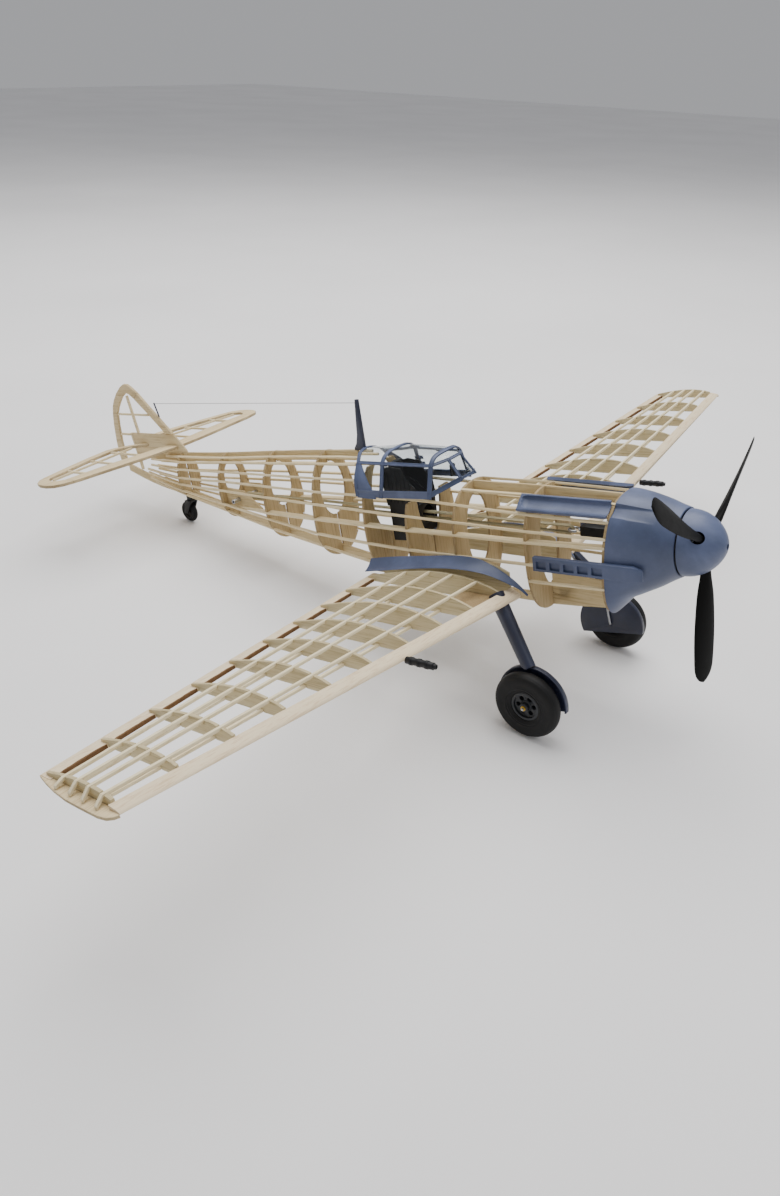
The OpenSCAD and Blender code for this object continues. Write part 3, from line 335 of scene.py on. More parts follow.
def closed_mesh(name, points, faces, merge=None):
    """A mesh from flight datum points in mm, with its normals outward; points closer than merge are joined."""
    mesh = bpy.data.meshes.new(name)
    mesh.from_pydata([A(*p) for p in points], [], faces)
    bm = bmesh.new()
    bm.from_mesh(mesh)
    if merge:
        bmesh.ops.remove_doubles(bm, verts=bm.verts, dist=merge)
    bmesh.ops.recalc_face_normals(bm, faces=bm.faces)
    bm.to_mesh(mesh)
    bm.free()
    return mesh


def piece(name, points, faces, look, body, nodes=(), sharp=35):
    """A new mesh from flight datum points in mm, riding on a body and standing for some CAD nodes."""
    mesh = closed_mesh(name, points, faces, SAME_POINT)
    mesh.shade_smooth()
    mesh.set_sharp_from_angle(angle=math.radians(sharp))
    obj = bpy.data.objects.new(name, mesh)
    bpy.context.scene.collection.objects.link(obj)
    mesh.materials.append(MATERIALS[look])
    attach(obj, body)
    if nodes:
        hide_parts(*nodes)
    return obj


class Build:
    """Collects points and faces for one piece."""

    def __init__(self):
        self.p, self.f = [], []

    def rings(self, rings, ends=True, loop=False):
        """Skin over closed rings of equal length; the ends are capped, or joined to each other."""
        at, m, n = len(self.p), len(rings[0]), len(rings)
        for ring in rings:
            self.p += [tuple(q) for q in ring]
        for i in range(n if loop else n - 1):
            for k in range(m):
                a, b, j = at + m * i, at + m * ((i + 1) % n), (k + 1) % m
                self.f.append((a + k, b + k, b + j, a + j))
        if ends and not loop:
            self.f.append(tuple(at + k for k in range(m)))
            self.f.append(tuple(at + m * (n - 1) + k for k in reversed(range(m))))

    def slab(self, top, under):
        """A closed plate between two grids of the same size."""
        at, rows, cols = len(self.p), len(top), len(top[0])
        for grid in (top, under):
            for row in grid:
                self.p += [tuple(q) for q in row]
        size = rows * cols
        for i in range(rows - 1):
            for k in range(cols - 1):
                a = at + i * cols + k
                self.f.append((a, a + 1, a + cols + 1, a + cols))
                self.f.append((a + size, a + size + cols, a + size + cols + 1, a + size + 1))
        rim = list(range(cols)) + [i * cols + cols - 1 for i in range(1, rows)]
        rim += [(rows - 1) * cols + k for k in range(cols - 2, -1, -1)]
        rim += [i * cols for i in range(rows - 2, 0, -1)]
        for i, a in enumerate(rim):
            b = rim[(i + 1) % len(rim)]
            self.f.append((at + a, at + a + size, at + b + size, at + b))

    def prism(self, outline, low, high):
        """Extrudes a closed 3-D outline from offset low to offset high."""
        self.rings([[tuple(q[i] + d[i] for i in range(3)) for q in outline] for d in (low, high)])

    def tube(self, path, radius, sides=16):
        """A round tube along points; radius is a number or one number for each point."""
        rings = []
        up = Vector((0.13, 0.21, 0.97)).normalized()
        for i, q in enumerate(path):
            ahead = (Vector(path[min(i + 1, len(path) - 1)]) - Vector(path[max(i - 1, 0)])).normalized()
            side = ahead.cross(up).normalized()
            lift = side.cross(ahead)
            r = radius if isinstance(radius, (int, float)) else radius[i]
            rings.append([Vector(q) + r * (math.cos(a) * side + math.sin(a) * lift)
                          for a in span(0, 2 * math.pi, sides)[:-1]])
        self.rings(rings)

    def turned(self, profile, centre, axis, sides=96, loop=False):
        """Turns a profile of (distance along, radius) about x or y through centre."""
        rings = []
        for a in span(0, 2 * math.pi, sides)[:-1]:
            ring = []
            for d, r in profile:
                u, v = r * math.cos(a), r * math.sin(a)
                off = (d, u, v) if axis == "x" else (v, d, u)
                ring.append(tuple(centre[i] + off[i] for i in range(3)))
            rings.append(ring)
        at, m, n = len(self.p), len(profile), len(rings)
        for ring in rings:
            self.p += ring
        for i in range(n):
            for k in range(m if loop else m - 1):
                a, b, j = at + m * i, at + m * ((i + 1) % n), (k + 1) % m
                self.f.append((a + k, b + k, b + j, a + j))

    def done(self, name, look, body, slot, nodes=(), sharp=35):
        return piece(name, self.p, self.f, look, body, nodes, sharp)


# ---------------------------------------------------------------- nose cowl with its gun grooves
COWL_X = [60, 64, 69, 75, 85, 91, 96.2]
COWL_W = [25.3, 25.1, 24.7, 24, 21.9, 20.2, 18.9]
COWL_TOP = [26, 25.8, 25.2, 24.3, 22.3, 20.4, 18.9]
COWL_LOW = [-46.2, -41.2, -34.9, -31.3, -25.7, -21.9, -18.9]
COWL_MID = [-5, -4.8, -4.4, -3.5, -1.5, -0.5, 0]
COWL_ROUND = [2.5, 2.5, 2.45, 2.35, 2.15, 2.05, 2]
COWL_WALL = 0.9
LEAN_Z, LEAN = -10, math.tan(math.radians(4.5))
PLATE_AT, PLATE_TILT, PLATE_YAW = (6.4, 18.3, 20.4), math.radians(40), math.radians(1.6)
OUT, UP = (math.cos(PLATE_TILT), -math.sin(PLATE_TILT)), (math.sin(PLATE_TILT), math.cos(PLATE_TILT))
GROOVE_DEEP, GROOVE_LOW, GROOVE_WIDE = 2.15, -2.6, 6.6
PLATE_HALF, PLATE_LONG, PLATE_HIGH = 5.5, 54.4, 2.1


def groove(v, end):
    """Depth of the gun groove at v across it; end falls from 1 to 0 over its rounded rear end."""
    shift = v - GROOVE_LOW
    share = (shift / 1.6) ** 2 if shift < 0 else (shift / GROOVE_WIDE) ** 2
    share += (1 - end) ** 2
    return GROOVE_DEEP * math.sqrt(max(0, 1 - share))


def cowl_point(x, a, inward):
    """Cowl surface at station x and angle a, from port over the top to starboard, moved inward."""
    mid, p = curve(x, COWL_X, COWL_MID), 2 / curve(x, COWL_X, COWL_ROUND)
    s, c = math.sin(a), math.cos(a)
    rise = curve(x, COWL_X, COWL_TOP) - mid if s > 0 else mid - curve(x, COWL_X, COWL_LOW)
    z = mid + math.copysign((rise - inward) * abs(s) ** p, s)
    y = math.copysign((curve(x, COWL_X, COWL_W) - inward) * abs(c) ** p, c)
    yc = PLATE_AT[1] - (x - PLATE_AT[0]) * math.tan(PLATE_YAW)
    if z > 0:
        v = (abs(y) - yc) * OUT[0] + (z - PLATE_AT[2]) * OUT[1]
        deep = groove(v, 1) * min(1, max(0, (86 - x) / 24)) ** 0.8
        y -= math.copysign(deep * UP[0], y)
        z -= deep * UP[1]
    return (x + (z - LEAN_Z) * LEAN * max(0, (85 - x) / 25), y, z)


def make_cowl():
    b = Build()
    turns = span(0, 2 * math.pi, 288)[:-1]
    xs = span(COWL_X[0], COWL_X[-1] - 0.3, 72) + [COWL_X[-1] - 0.1, COWL_X[-1]]
    lips = [0.12] + [0] * (len(xs) - 3) + [0.08, 0.3]
    outer = [[cowl_point(x, a, lip) for a in turns] for x, lip in zip(xs, lips)]
    inner = [[cowl_point(x, a, COWL_WALL) for a in turns] for x in reversed(xs)]
    b.rings(outer + inner, ends=False, loop=True)
    b.done("cowl_skin", "paint", AIRFRAME, "blue_grey_paint", ["cowl"], 50)


def make_troughs():
    b = Build()
    for hand in (1, -1):
        rows_top, rows_low = [], []
        for u in span(0, 1.2, 5) + span(1.7, 12, 22) + span(14, PLATE_LONG, 12):
            top, low = [], []
            for v in span(-PLATE_HALF, PLATE_HALF, 56):
                end = min(1, max(0, (u - 1.6) / 4.2))
                edge = min(PLATE_HALF - abs(v), u, 1.0)
                w = PLATE_HIGH - 0.35 * (1 - min(1, edge / 0.6)) ** 2 - groove(v, end)
                for row, height in ((top, w), (low, min(-0.1, w - 0.7) if u < 54 else min(0.6, w - 0.7))):
                    y = v * OUT[0] + height * UP[0]
                    x = PLATE_AT[0] + u * math.cos(PLATE_YAW) + y * math.sin(PLATE_YAW)
                    yy = PLATE_AT[1] - u * math.sin(PLATE_YAW) + y * math.cos(PLATE_YAW)
                    row.append((x, hand * yy, PLATE_AT[2] + v * OUT[1] + height * UP[1]))
            rows_top.append(top)
            rows_low.append(low)
        b.slab(rows_top, rows_low)
    b.done("gun_trough_mouldings", "paint", AIRFRAME, "blue_grey_paint", ["gun_troughs"], 40)


# ---------------------------------------------------------------- spinner and propeller
JOINT_X, HUB_X, NOSE_X, SPINNER_R = 97, 106.6, 118, 18.2
NOSE_HOLE_R, SLOT_R, BLADES = 1.6, 3.4, 3
PROP_TURN = math.radians(63.7)


def turn_x(q, a):
    """A point turned about the shaft by a, from straight up towards port."""
    return (q[0], q[1] * math.cos(a) + q[2] * math.sin(a), -q[1] * math.sin(a) + q[2] * math.cos(a))


def ogive(t):
    """Spinner radius at the share t of its length."""
    return SPINNER_R * max(0, 1 - t ** 2.1) ** 0.62


def make_spinner():
    """A hollow turned shell with a round slot cut for each blade."""
    b = Build()
    long = NOSE_X - JOINT_X
    ts = [t ** 0.9 for t in span(0, 1, 60)]
    stop = [t for t in ts if ogive(t) > 1.62]
    outer = [(JOINT_X + long * t, ogive(t)) for t in stop] + [(NOSE_X - 0.25, NOSE_HOLE_R)]
    outer[0:1] = [(JOINT_X, ogive(0) - 0.25), (JOINT_X + 0.12, ogive(0))]
    inner = [(JOINT_X + long * 0.86, NOSE_HOLE_R)]
    inner += [(JOINT_X + long * t - 0.9 * t, ogive(t) - 1.2) for t in (0.82, 0.7, 0.55, 0.35, 0.2, 0)]
    b.turned(outer + inner, (0, 0, 0), "x", 144, loop=True)
    shell = b.done("spinner_shell", "paint", PROP, "blue_grey_paint", ["spinner"], 40)
    for k in range(BLADES):
        c = Build()
        a = PROP_TURN + 2 * math.pi * k / BLADES
        ring = [(HUB_X + SLOT_R * math.cos(t), SLOT_R * math.sin(t)) for t in span(0, 2 * math.pi, 40)[:-1]]
        c.rings([[turn_x((x, y, z), a) for x, y in ring] for z in (6, 40)])
        cutter = bpy.data.objects.new("cutter", closed_mesh("cutter", c.p, c.f))
        bpy.context.scene.collection.objects.link(cutter)
        cut = shell.modifiers.new("slot", "BOOLEAN")
        cut.operation, cut.object, cut.solver = "DIFFERENCE", cutter, "EXACT"
        bpy.context.view_layer.objects.active = shell
        with bpy.context.temp_override(object=shell, active_object=shell):
            bpy.ops.object.modifier_apply(modifier="slot")
        bpy.data.objects.remove(cutter)
    shell.data.shade_smooth()
    shell.data.set_sharp_from_angle(angle=math.radians(40))


BLADE_R = [7, 16, 30, 50, 66, 76, 81]
BLADE_CHORD = [5, 5.8, 10.4, 14, 14.4, 13.2, 11]
BLADE_THICK_R, BLADE_THICK = [7, 16, 30, 50, 66, 81], [4.6, 4.4, 3, 2.1, 1.6, 0.9]
BLADE_PITCH_R, BLADE_PITCH = [7, 16, 40, 81], [56, 48, 31, 20]
BLADE_END, TIP_FROM = 81, 70
TIP_LONG = BLADE_END - TIP_FROM


def make_propeller():
    b = Build()
    for k in range(BLADES):
        a = PROP_TURN + 2 * math.pi * k / BLADES
        rings = []
        tip = [BLADE_END - TIP_LONG * math.cos(t) for t in span(0.18, math.pi / 2, 16)]
        for r in span(4.5, TIP_FROM, 44) + tip:
            r = min(r, BLADE_END - 0.03)
            knot = max(r, BLADE_R[0])
            c = curve(knot, BLADE_R, BLADE_CHORD) / 2
            if r > TIP_FROM:
                c *= math.sqrt(max(0.0009, 1 - ((r - TIP_FROM) / TIP_LONG) ** 2.4))
            t = min(curve(knot, BLADE_THICK_R, BLADE_THICK) / 2, c * 0.9)
            pitch = math.radians(curve(knot, BLADE_PITCH_R, BLADE_PITCH))
            round_share = max(0, min(1, (20 - r) / 10))
            ring = []
            for q in span(0, 2 * math.pi, 36)[:-1]:
                u = c * math.cos(q)
                lens = math.copysign(abs(math.sin(q)) ** (1 + 0.35 * (1 - round_share)), math.sin(q))
                v = t * lens + (1 - round_share) * 0.06 * c * (1 - math.cos(q) ** 2)
                ring.append(turn_x((HUB_X - u * math.sin(pitch) + v * math.cos(pitch),
                                    u * math.cos(pitch) + v * math.sin(pitch), r), a))
            rings.append(ring)
        b.rings(rings)
    hub = [(-5, 0.82), (-5, 5.7), (-4.5, 6.2), (3, 6.2), (3.5, 5.7), (3.5, 0.82)]
    b.turned(hub, (HUB_X, 0, 0), "x", 64, loop=True)
    b.done("propeller_blades", "prop_black", PROP, "black_plastic", ["propeller"], 50)


# ---------------------------------------------------------------- wheels
RIM_R, BEAD_R, TYRE_HALF = 9, 10.2, 4.9
TAIL_CENTRE = (-322, 0, -22.3)


def tyre_profile(radius, half, bead, seat):
    """Closed outline of a tyre: rounded tread with two fine ribs and a raised ring on each side."""
    side = [(-half + 1.5, seat), (-half + 0.5, bead), (-half + 0.25, bead + 0.8), (-half + 0.42, bead + 1.1),
            (-half + 0.12, bead + 2.2), (-half + 0.24, bead + 2.5), (-half, (bead + radius) / 2)]
    deep = radius - (bead + radius) / 2
    arc = []
    for a in span(-78, 78, 26):
        t = math.radians(a)
        dent = 0.18 if abs(abs(a) - 36) < 4 else 0
        arc.append((half * math.sin(t), radius - deep + (deep - dent) * math.cos(t) ** 0.8))
    return side + arc + [(-d, r) for d, r in reversed(side)]


def make_wheels():
    for hand, sid in ((-1, "right"), (1, "left")):
        body = "wheel_" + sid
        centre = (MAIN_X, hand * MAIN_Y, MAIN_Z)
        b = Build()
        b.turned(tyre_profile(MAIN_R, TYRE_HALF, BEAD_R, RIM_R), centre, "y", 128, loop=True)
        b.done("tyre_skin_" + sid, "tyre", body, "tyre", ["tyre_" + sid], 28)
        b = Build()
        rim = [(hand * d, r) for d, r in ((2.6, 7.5), (3.1, 7.7), (3.25, 8.3), (3.1, 8.8), (2.6, 8.95))]
        b.turned(rim, centre, "y", 96, loop=True)
        boss = [(hand * d, r) for d, r in ((1.4, 3.9), (1.9, 3.6), (2.5, 2.9), (4.4, 2.7), (4.75, 2.3), (4.8, 0.9),
                                           (1.0, 0.9))]
        b.turned(boss, centre, "y", 64, loop=True)
        b.done("hub_mouldings_" + sid, "hub", body, "dark_blue_paint", (), 35)
        b = Build()
        cap = [(hand * d, r) for d, r in ((4.7, 0.86), (4.7, 1.5), (5.3, 1.6), (5.6, 1.35), (5.65, 0.86))]
        b.turned(cap, centre, "y", 40, loop=True)
        b.done("axle_collar_" + sid, "brass", AIRFRAME, "wire", (), 35)
    b = Build()
    ring = [(-1.6, 4.6), (-1.75, 5.4), (-1.55, 5.8), (-2.1, 6.6)]
    arc = [(2.2 * math.sin(math.radians(a)), 6.1 + 2.6 * math.cos(math.radians(a))) for a in span(-70, 70, 18)]
    disc = [(-0.9, 0.88), (-1.3, 1.0), (-1.3, 1.9), (-0.8, 2.1), (-0.8, 4.2)]
    half = disc + ring
    b.turned(half + arc + [(-d, r) for d, r in reversed(half)], TAIL_CENTRE, "y", 96, loop=True)
    b.done("tail_wheel_skin", "tyre", "tail_wheel_set", "tyre", ["tail_wheel"], 30)


# ---------------------------------------------------------------- wing saddles
FILLET_X = [-104, -90, -73, -55, -40, -28, -18, -9, -2, 4, 9, 13]
FILLET_HIGH = [-25.4, -22.6, -19.8, -17.2, -15, -14, -14.6, -17.6, -21, -24.6, -28.6, -32.6]
FILLET_LOW = [-31.4, -28.6, -25.2, -22, -19.9, -19, -19, -20.1, -22.2, -25.4, -28.8, -33.4]
FILLET_OUT = [37, 37.4, 37.6, 37.6, 37.6, 37.6, 37.4, 36.8, 36, 34, 31.6, 29.6]
FILLET_IN, FILLET_WALL = 28.6, 0.7


def make_fillets():
    b = Build()
    for hand in (1, -1):
        grids = []
        for up in (1, 0):
            grid = []
            for x in span(FILLET_X[0], FILLET_X[-1], 90):
                high, low = curve(x, FILLET_X, FILLET_HIGH), curve(x, FILLET_X, FILLET_LOW)
                out = curve(x, FILLET_X, FILLET_OUT)
                row = []
                for t in span(0, 1, 20):
                    edge = 0.25 * (t > 0.999 or t < 0.001) * (1 if up else -1)
                    row.append((x, hand * (FILLET_IN + (out - FILLET_IN) * t + up * FILLET_WALL * 0.5 * (1 - t)),
                                low + (high - low) * (1 - t) ** 1.7 + 0.9 + up * FILLET_WALL - edge))
                grid.append(row)
            grids.append(grid)
        b.slab(*grids)
    b.done("wing_saddles", "paint", AIRFRAME, "blue_grey_paint", ["wing_fillets"], 50)


# ---------------------------------------------------------------- rubber motor
PEG, HOOK = (-245, -2), (27, 0)
LOOP_R, STRAND_STEP = 2.2, 1.05


def make_rubber():
    """Three slack strips above and three below, joined by round turns at the peg and the hook."""
    rng = random.Random(7)
    b = Build()
    for k in range(6):
        upper = 1 if k < 3 else -1
        off_y = (k % 3 - 1) * STRAND_STEP
        phase, wave = rng.uniform(0, 6.28), rng.uniform(0.25, 0.5)
        rings = []
        for t in span(0, 1, 90):
            x = PEG[0] + (HOOK[0] - PEG[0]) * t
            ease = math.sin(math.pi * t) ** 0.5
            z = PEG[1] * (1 - t) + upper * LOOP_R * (1 - 0.25 * ease) + ease * wave * math.sin(7 * t + phase)
            y = off_y + ease * wave * math.cos(9 * t + phase)
            twist = 0.9 * math.sin(5 * t + phase) * ease
            cs, sn = math.cos(twist), math.sin(twist)
            rings.append([(x, y + u * cs - v * sn, z + u * sn + v * cs)
                          for u, v in ((-0.48, -0.4), (0.48, -0.4), (0.48, 0.4), (-0.48, 0.4))])
        b.rings(rings)
    for at, lean in ((PEG, -1), (HOOK, 1)):
        for k in range(3):
            arc = [(at[0] + lean * LOOP_R * math.cos(a), (k - 1) * STRAND_STEP, at[1] + LOOP_R * math.sin(a))
                   for a in span(-math.pi / 2, math.pi / 2, 14)]
            b.tube(arc, 0.46, 8)
    b.done("rubber_strands", "rubber", AIRFRAME, "rubber_strip", ["rubber_motor"], 30)


# ---------------------------------------------------------------- canopy
def half_arch(knots):
    """A canopy arch from the rail (0) to the centre line (1), through knots of (share, point)."""
    ks = [k for k, _ in knots]
    return lambda t: tuple(curve(t, ks, [p[i] for _, p in knots]) for i in range(3))


REAR = half_arch([(0, (-111.6, 24, 15.6)), (0.27, (-113.6, 20.9, 26.5)), (0.5, (-115.4, 13.8, 36)),
                  (0.75, (-117.8, 7.6, 40.4)), (1, (-118.9, 0, 41.9))])
MID = half_arch([(0, (-92, 24.4, 15.8)), (0.47, (-92, 18, 36.6)), (0.53, (-92, 17, 38.8)),
                 (0.62, (-92, 14.4, 41.2)), (0.74, (-92, 10.8, 42.7)), (0.88, (-92, 5.6, 43.3)),
                 (1, (-92, 0, 43.4))])
FRONT = half_arch([(0, (-54.6, 23.2, 18)), (0.47, (-55, 16.7, 37)), (0.53, (-55, 15.7, 39)),
                   (0.62, (-55, 13.2, 41.3)), (0.74, (-55, 9.8, 42.6)), (0.88, (-55, 5, 43)),
                   (1, (-55, 0, 43.1))])
SCREEN = half_arch([(0, (-39.2, 7.6, 27.4)), (0.25, (-43.8, 6.9, 33.5)), (0.499, (-48.4, 6.2, 39.6)),
                    (0.75, (-48.4, 3.1, 39.75)), (1, (-48.4, 0, 39.8))])


RAIL_AT, UPPER_AT = 0.075, 0.5


def between(p, q, t):
    return tuple(p[i] + (q[i] - p[i]) * t for i in range(3))


def outward(p):
    """Roughly outward direction of the canopy at p."""
    return Vector((max(0, p[0] + 62) * 0.9, p[1], (p[2] - 16) * 0.8)).normalized()


def ribbon(b, path, width, low=-0.75, high=0.3):
    """A raised frame strip with a fine step along both edges."""
    w = width / 2
    edge = min(0.5, w * 0.4)
    profile = [(-w, low), (-w, high - 0.15), (-w + 0.15, high), (-w + edge, high), (-w + edge + 0.2, high - 0.28),
               (w - edge - 0.2, high - 0.28), (w - edge, high), (w - 0.15, high), (w, high - 0.15), (w, low)]
    rings = []
    for i, q in enumerate(path):
        ahead = (Vector(path[min(i + 1, len(path) - 1)]) - Vector(path[max(i - 1, 0)])).normalized()
        side = ahead.cross(outward(q)).normalized()
        up = side.cross(ahead).normalized()
        rings.append([Vector(q) + u * side + v * up for u, v in profile])
    b.rings(rings)


def mirrored(path):
    return [(x, -y, z) for x, y, z in path]


def make_canopy():
    b = Build()
    for arch, width in ((REAR, 2.4), (MID, 2.7), (FRONT, 2.8)):
        half = [arch(t) for t in span(0.02, 1, 40)]
        ribbon(b, half + mirrored(half)[-2::-1], width)
    for hand in (1, -1):
        place = list if hand == 1 else mirrored
        rail = [between(REAR(RAIL_AT), MID(RAIL_AT), t) for t in span(0, 1, 8)]
        rail += [between(MID(RAIL_AT), FRONT(RAIL_AT), t) for t in span(0, 1, 10)][1:]
        ribbon(b, place(rail), 4.6)
        ribbon(b, place([between(FRONT(0.07), (-39.4, 7.7, 28.3), t) for t in span(0, 1, 10)]), 3.2)
        upper = [between(REAR(UPPER_AT), MID(UPPER_AT), t) for t in span(0, 1, 8)]
        upper += [between(MID(UPPER_AT), FRONT(UPPER_AT), t) for t in span(0, 1, 10)][1:]
        ribbon(b, place(upper), 2.0)
        ribbon(b, place([between(FRONT(UPPER_AT), SCREEN(0.499), t) for t in span(0, 1, 8)]), 1.9)
        ribbon(b, place([SCREEN(0.499 * t) for t in span(0, 1, 10)]), 1.9)
    for t in (0.03, 0.497):
        end = SCREEN(t)
        ribbon(b, [between(end, mirrored([end])[0], k) for k in span(0, 1, 8)], 1.9)
    for hand in (1, -1):
        top, low = [], []
        for t in span(0, 0.56, 20):
            far = max(0.04, 0.8 * (1 - t / 0.56) ** 0.9)
            row = [between(REAR(t), MID(t), far * k) for k in span(0, 1, 8)]
            top.append([(x, hand * y, z) for x, y, z in row])
            low.append([tuple(Vector(p) - 0.7 * outward(p)) for p in top[-1]])
        b.slab(top, low)
    b.done("canopy_frames", "paint", AIRFRAME, "blue_grey_paint", ["canopy_frame"], 30)
    g = Build()
    for near, ahead_of in ((REAR, MID), (MID, FRONT), (FRONT, SCREEN)):
        top, low = [], []
        for t in span(0.03, 1, 44):
            row = [between(near(t), ahead_of(t), k) for k in span(0, 1, 6)]
            top.append([tuple(Vector(p) - 0.35 * outward(p)) for p in row])
            low.append([tuple(Vector(p) - 0.75 * outward(p)) for p in row])
        g.slab(top + mirrored_rows(top), low + mirrored_rows(low))
    pane = [[(-39.4, 7.4, 27.8), (-39.4, -7.4, 27.8)], [(-48.2, 6, 39.4), (-48.2, -6, 39.4)]]
    g.slab(pane, [[(x - 0.4, y, z - 0.25) for x, y, z in row] for row in pane])
    g.done("canopy_panes", "clear", AIRFRAME, "clear_glazing", ["canopy_glazing"], 30)


def mirrored_rows(rows):
    return [mirrored(row) for row in rows[-2::-1]]


# ---------------------------------------------------------------- undercarriage legs
LEG_TOP, LEG_LOW = (-1.6, 39.5, -28.8), (24.6, 52.6, -65.6)
WIRE_R = 0.8
COVER_REACH = 22.1  # the channel stops at this distance from the axle, on the wheel cover


def make_legs():
    """Channel-shaped legs open inboard, and the bent wires that run down them and end as the axles."""
    b, wires = Build(), Build()
    for hand in (1, -1):
        rings = []
        ahead = (Vector(LEG_LOW) - Vector(LEG_TOP)).normalized()
        back = Vector((-0.314, -0.802, -0.509))
        back = (back - back.dot(ahead) * ahead).normalized()
        side = ahead.cross(back)
        for t in span(0, 1, 24):
            mid = Vector(between(LEG_TOP, LEG_LOW, t))
            r = 5.3 - 0.9 * t
            arc = [(math.radians(a), r) for a in span(100, 260, 26)]
            arc += [(math.radians(a), r - 1) for a in span(260, 100, 26)]
            ring = []
            for a, rr in arc:
                q = mid + rr * (math.cos(a) * back + 0.92 * math.sin(a) * side)
                reach = math.hypot(q.x - MAIN_X, q.z - MAIN_Z)
                if reach < COVER_REACH:
                    q.z = MAIN_Z + math.sqrt(COVER_REACH ** 2 - min(22, abs(q.x - MAIN_X)) ** 2)
                ring.append((q.x, hand * q.y, q.z))
            rings.append(ring)
        b.rings(rings)
        cover_in = MAIN_Y - 9.1
        path = [(-6, 44.4, -32.9), (-1, 43.4, -34.4), (3.4, 42.4, -36.2), (5.4, 42.6, -39.2), (20, 49.2, -59.6),
                (21.8, cover_in, -62.6), (24.6, cover_in, -84.4), (24.7, cover_in + 0.3, -85.8),
                (MAIN_X, cover_in + 1.6, MAIN_Z), (MAIN_X, MAIN_Y + 6.4, MAIN_Z)]
        wires.tube([(x, hand * y, z) for x, y, z in path], WIRE_R, 20)
    b.done("leg_channels", "dark_paint", AIRFRAME, "dark_blue_paint", ["gear_legs"], 40)
    wires.done("leg_wires", "wire", AIRFRAME, "wire", ["gear_wires"], 40)


# ---------------------------------------------------------------- cockpit details
def make_cockpit():
    """Ribbed seat back, cushion, head pad, side cheeks, sight post and stick."""
    b = Build()
    for k in range(7):
        y = -7.2 + 2.4 * k
        path = [(-96.9 + 0.9 * math.sin(math.pi * t), y, 9.4 + 13.6 * t) for t in span(0, 1, 12)]
        b.tube(path, 0.55, 10)
    rows, under = [], []
    for t in span(0, 1, 10):
        x = -96.9 + 17 * t
        dip = 0.7 * math.sin(math.pi * t)
        rows.append([(x, y, 9.6 - dip + 1.3 * abs(y / 8.2) ** 3) for y in span(-8.2, 8.2, 20)])
        under.append([(x, y, 8.3) for y in span(-8.2, 8.2, 20)])
    b.slab(rows, under)
    rings = []
    for t in span(0, 1, 12):
        z = 24.6 + 9.6 * t
        swell = math.sqrt(max(0.05, math.sin(math.pi * (0.06 + 0.88 * t))))
        rings.append([(-94.6 + 1.7 * swell * math.cos(a), 5 * swell ** 0.5 * math.sin(a), z)
                      for a in span(0, 2 * math.pi, 28)[:-1]])
    b.rings(rings)
    for hand in (1, -1):
        cheek = [(-99, 6.4), (-100.6, 20), (-98.6, 31.4), (-93, 33), (-84, 32), (-80.6, 25),
                 (-75, 19.6), (-73.6, 8.6), (-78, 6.4)]
        b.prism([(x, hand * 9.2, z) for x, z in cheek], (0, 0, 0), (0, hand * 0.9, 0))
        b.prism([(x, hand * 10.1, z) for x, z in [(-96.4, 9), (-97, 29.4), (-95.6, 29.4), (-95, 9)]],
                (0, 0, 0), (0, hand * 0.5, 0))
        for k in range(5):
            x = -93 + 3.4 * k
            top = 30.6 if x < -84 else 30.6 - (x + 84) * 1.15
            b.tube([(x, hand * 10.15, 9), (x, hand * 10.15, top)], 0.45, 8)
    b.prism([(-51.6, 2.2 * k, z) for k, z in ((1, 27), (1, 33.6), (0.7, 34.6), (-0.7, 34.6), (-1, 33.6), (-1, 27))],
            (0, 0, 0), (1.2, 0, 0))
    b.tube([(-70, 0, 8.2), (-69.6, 0, 12), (-71, 0, 17), (-71.4, 0, 19)], [0.9, 0.6, 0.7, 1.2], 16)
    b.done("cockpit_fittings", "black", AIRFRAME, "black_plastic", (), 35)


# ---------------------------------------------------------------- painted shade strips on the inner faces of the trailing edges
RIB_Y0, TIP_Y, RIBS, SHEET = 37.3, 301.7, 10, 1.6
RIB_STEP = (TIP_Y - SHEET - RIB_Y0) / (RIBS - 1)
TE_WIDE, TE_THICK = 8, 1.8


def chord(y):
    return 111.6 - 57.4 * (y - RIB_Y0) / (TIP_Y - RIB_Y0)


def at_chord(share, y):
    return 8 - 3 * (y - RIB_Y0) / (TIP_Y - RIB_Y0) - share * chord(y)


def under_z(y):
    return -35.3 + 0.1316 * (y - RIB_Y0)
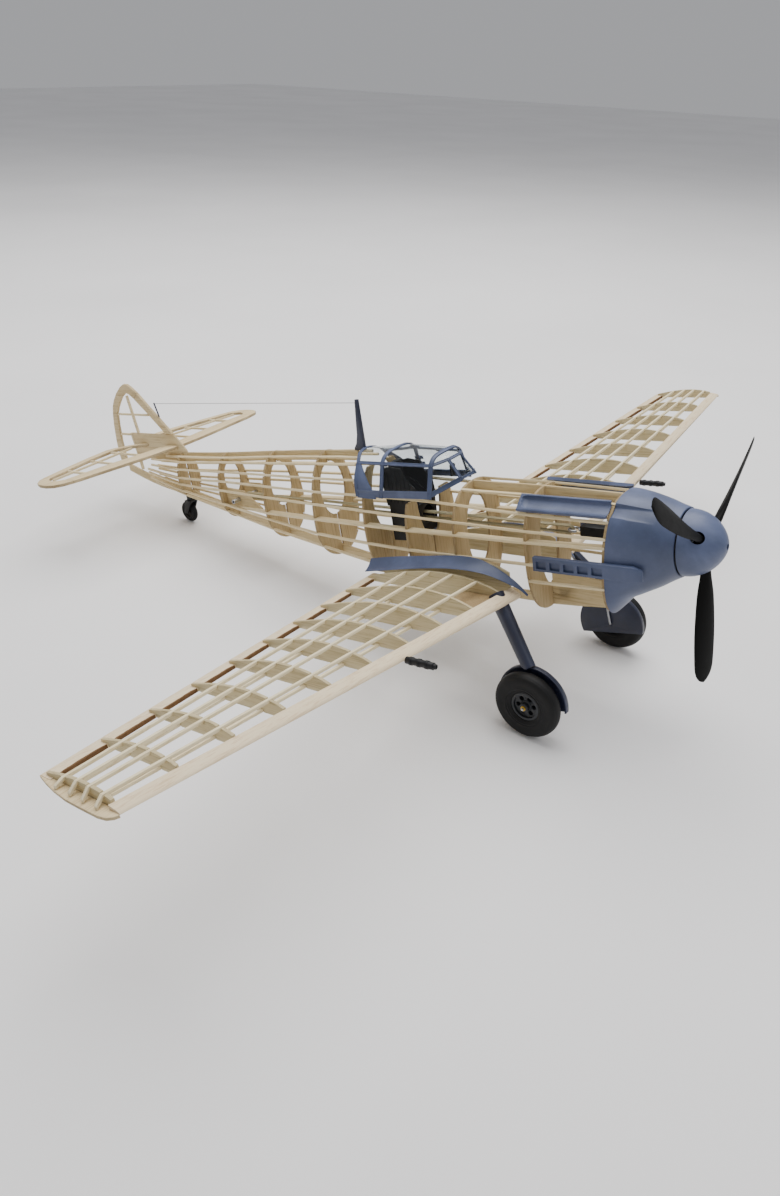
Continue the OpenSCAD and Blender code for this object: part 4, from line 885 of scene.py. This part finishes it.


# Dark brown strips on the inner faces of the trailing edges, between the ribs: painted shade.
def make_painted_te_shade():
    rng = random.Random(11)
    b = Build()
    for hand in (1, -1):
        for i in range(RIBS - 1):
            y0, y1 = RIB_Y0 + RIB_STEP * i + SHEET + 0.5, RIB_Y0 + RIB_STEP * (i + 1) - 0.5
            rings = []
            for t in span(0, 1, 14):
                y = y0 + (y1 - y0) * t
                x, z = at_chord(1, y) + TE_WIDE, under_z(y) + TE_THICK
                wide = (1.15 + rng.uniform(-0.16, 0.16)) * min(1, 0.35 + 6 * min(t, 1 - t))
                outline = ((-wide, -0.02), (-wide, 0.04), (0.04, 0.04), (0.04, -1.75), (-0.1, -1.75), (-0.1, -0.02))
                rings.append([(x + dx, hand * y, z + dz) for dx, dz in outline])
            b.rings(rings)
    b.done("painted_te_shade_strips", "painted_te_shade", AIRFRAME, "balsa_strip", (), 30)


make_canopy()
make_legs()
make_cockpit()
make_painted_te_shade()
make_cowl()
make_troughs()
make_spinner()
make_propeller()
make_wheels()
make_fillets()
make_rubber()


# ---------------------------------------------------------------- floor and light
FLOOR_HALF, FLOOR_CELLS, FLOOR_DROP = 6.0, 24, 0.0002
SKY, SKY_STRENGTH = (0.95, 0.96, 1, 1), 0.42


def make_stage():
    bm = bmesh.new()
    bmesh.ops.create_grid(bm, x_segments=FLOOR_CELLS, y_segments=FLOOR_CELLS, size=FLOOR_HALF)
    mesh = bpy.data.meshes.new("floor")
    bm.to_mesh(mesh)
    floor = bpy.data.objects.new("floor", mesh)
    bpy.context.scene.collection.objects.link(floor)
    floor.location = (0, 0, -FLOOR_DROP)
    m = Mat("floor", Specular_IOR_Level=0.25, Roughness=0.62)
    at = m.place((3, 3, 3))
    tone = m.ramp(m.noise(at, 1, 3, 0.5), (0.3, "EEEDED"), (0.7, "F5F4F4"))
    floor.data.materials.append(m.out(Base_Color=tone))


def lamp(name, place, aim, size, power, colour=(1, 1, 1)):
    data = bpy.data.lights.new(name, "AREA")
    data.shape, data.size, data.energy, data.color = "DISK", size, power, colour
    obj = bpy.data.objects.new(name, data)
    bpy.context.scene.collection.objects.link(obj)
    obj.location = place
    obj.rotation_euler = (Vector(aim) - Vector(place)).to_track_quat("-Z", "Y").to_euler()


def make_light():
    world = bpy.data.worlds.new("studio")
    bpy.context.scene.world = world
    world.use_nodes = True
    back = world.node_tree.nodes["Background"]
    back.inputs["Color"].default_value = SKY
    back.inputs["Strength"].default_value = SKY_STRENGTH
    lamp("key", (-0.3, 0.5, 1.7), (0, 0, 0), 2.1, 50, (1, 0.99, 0.98))
    lamp("front", (1.3, 0.2, 1.2), (0, 0, 0.05), 1.2, 4, (0.96, 0.98, 1))
    lamp("fill", (-0.6, -1.2, 1.1), (0, 0, 0.05), 1.4, 2, (0.95, 0.97, 1))


make_stage()
make_light()
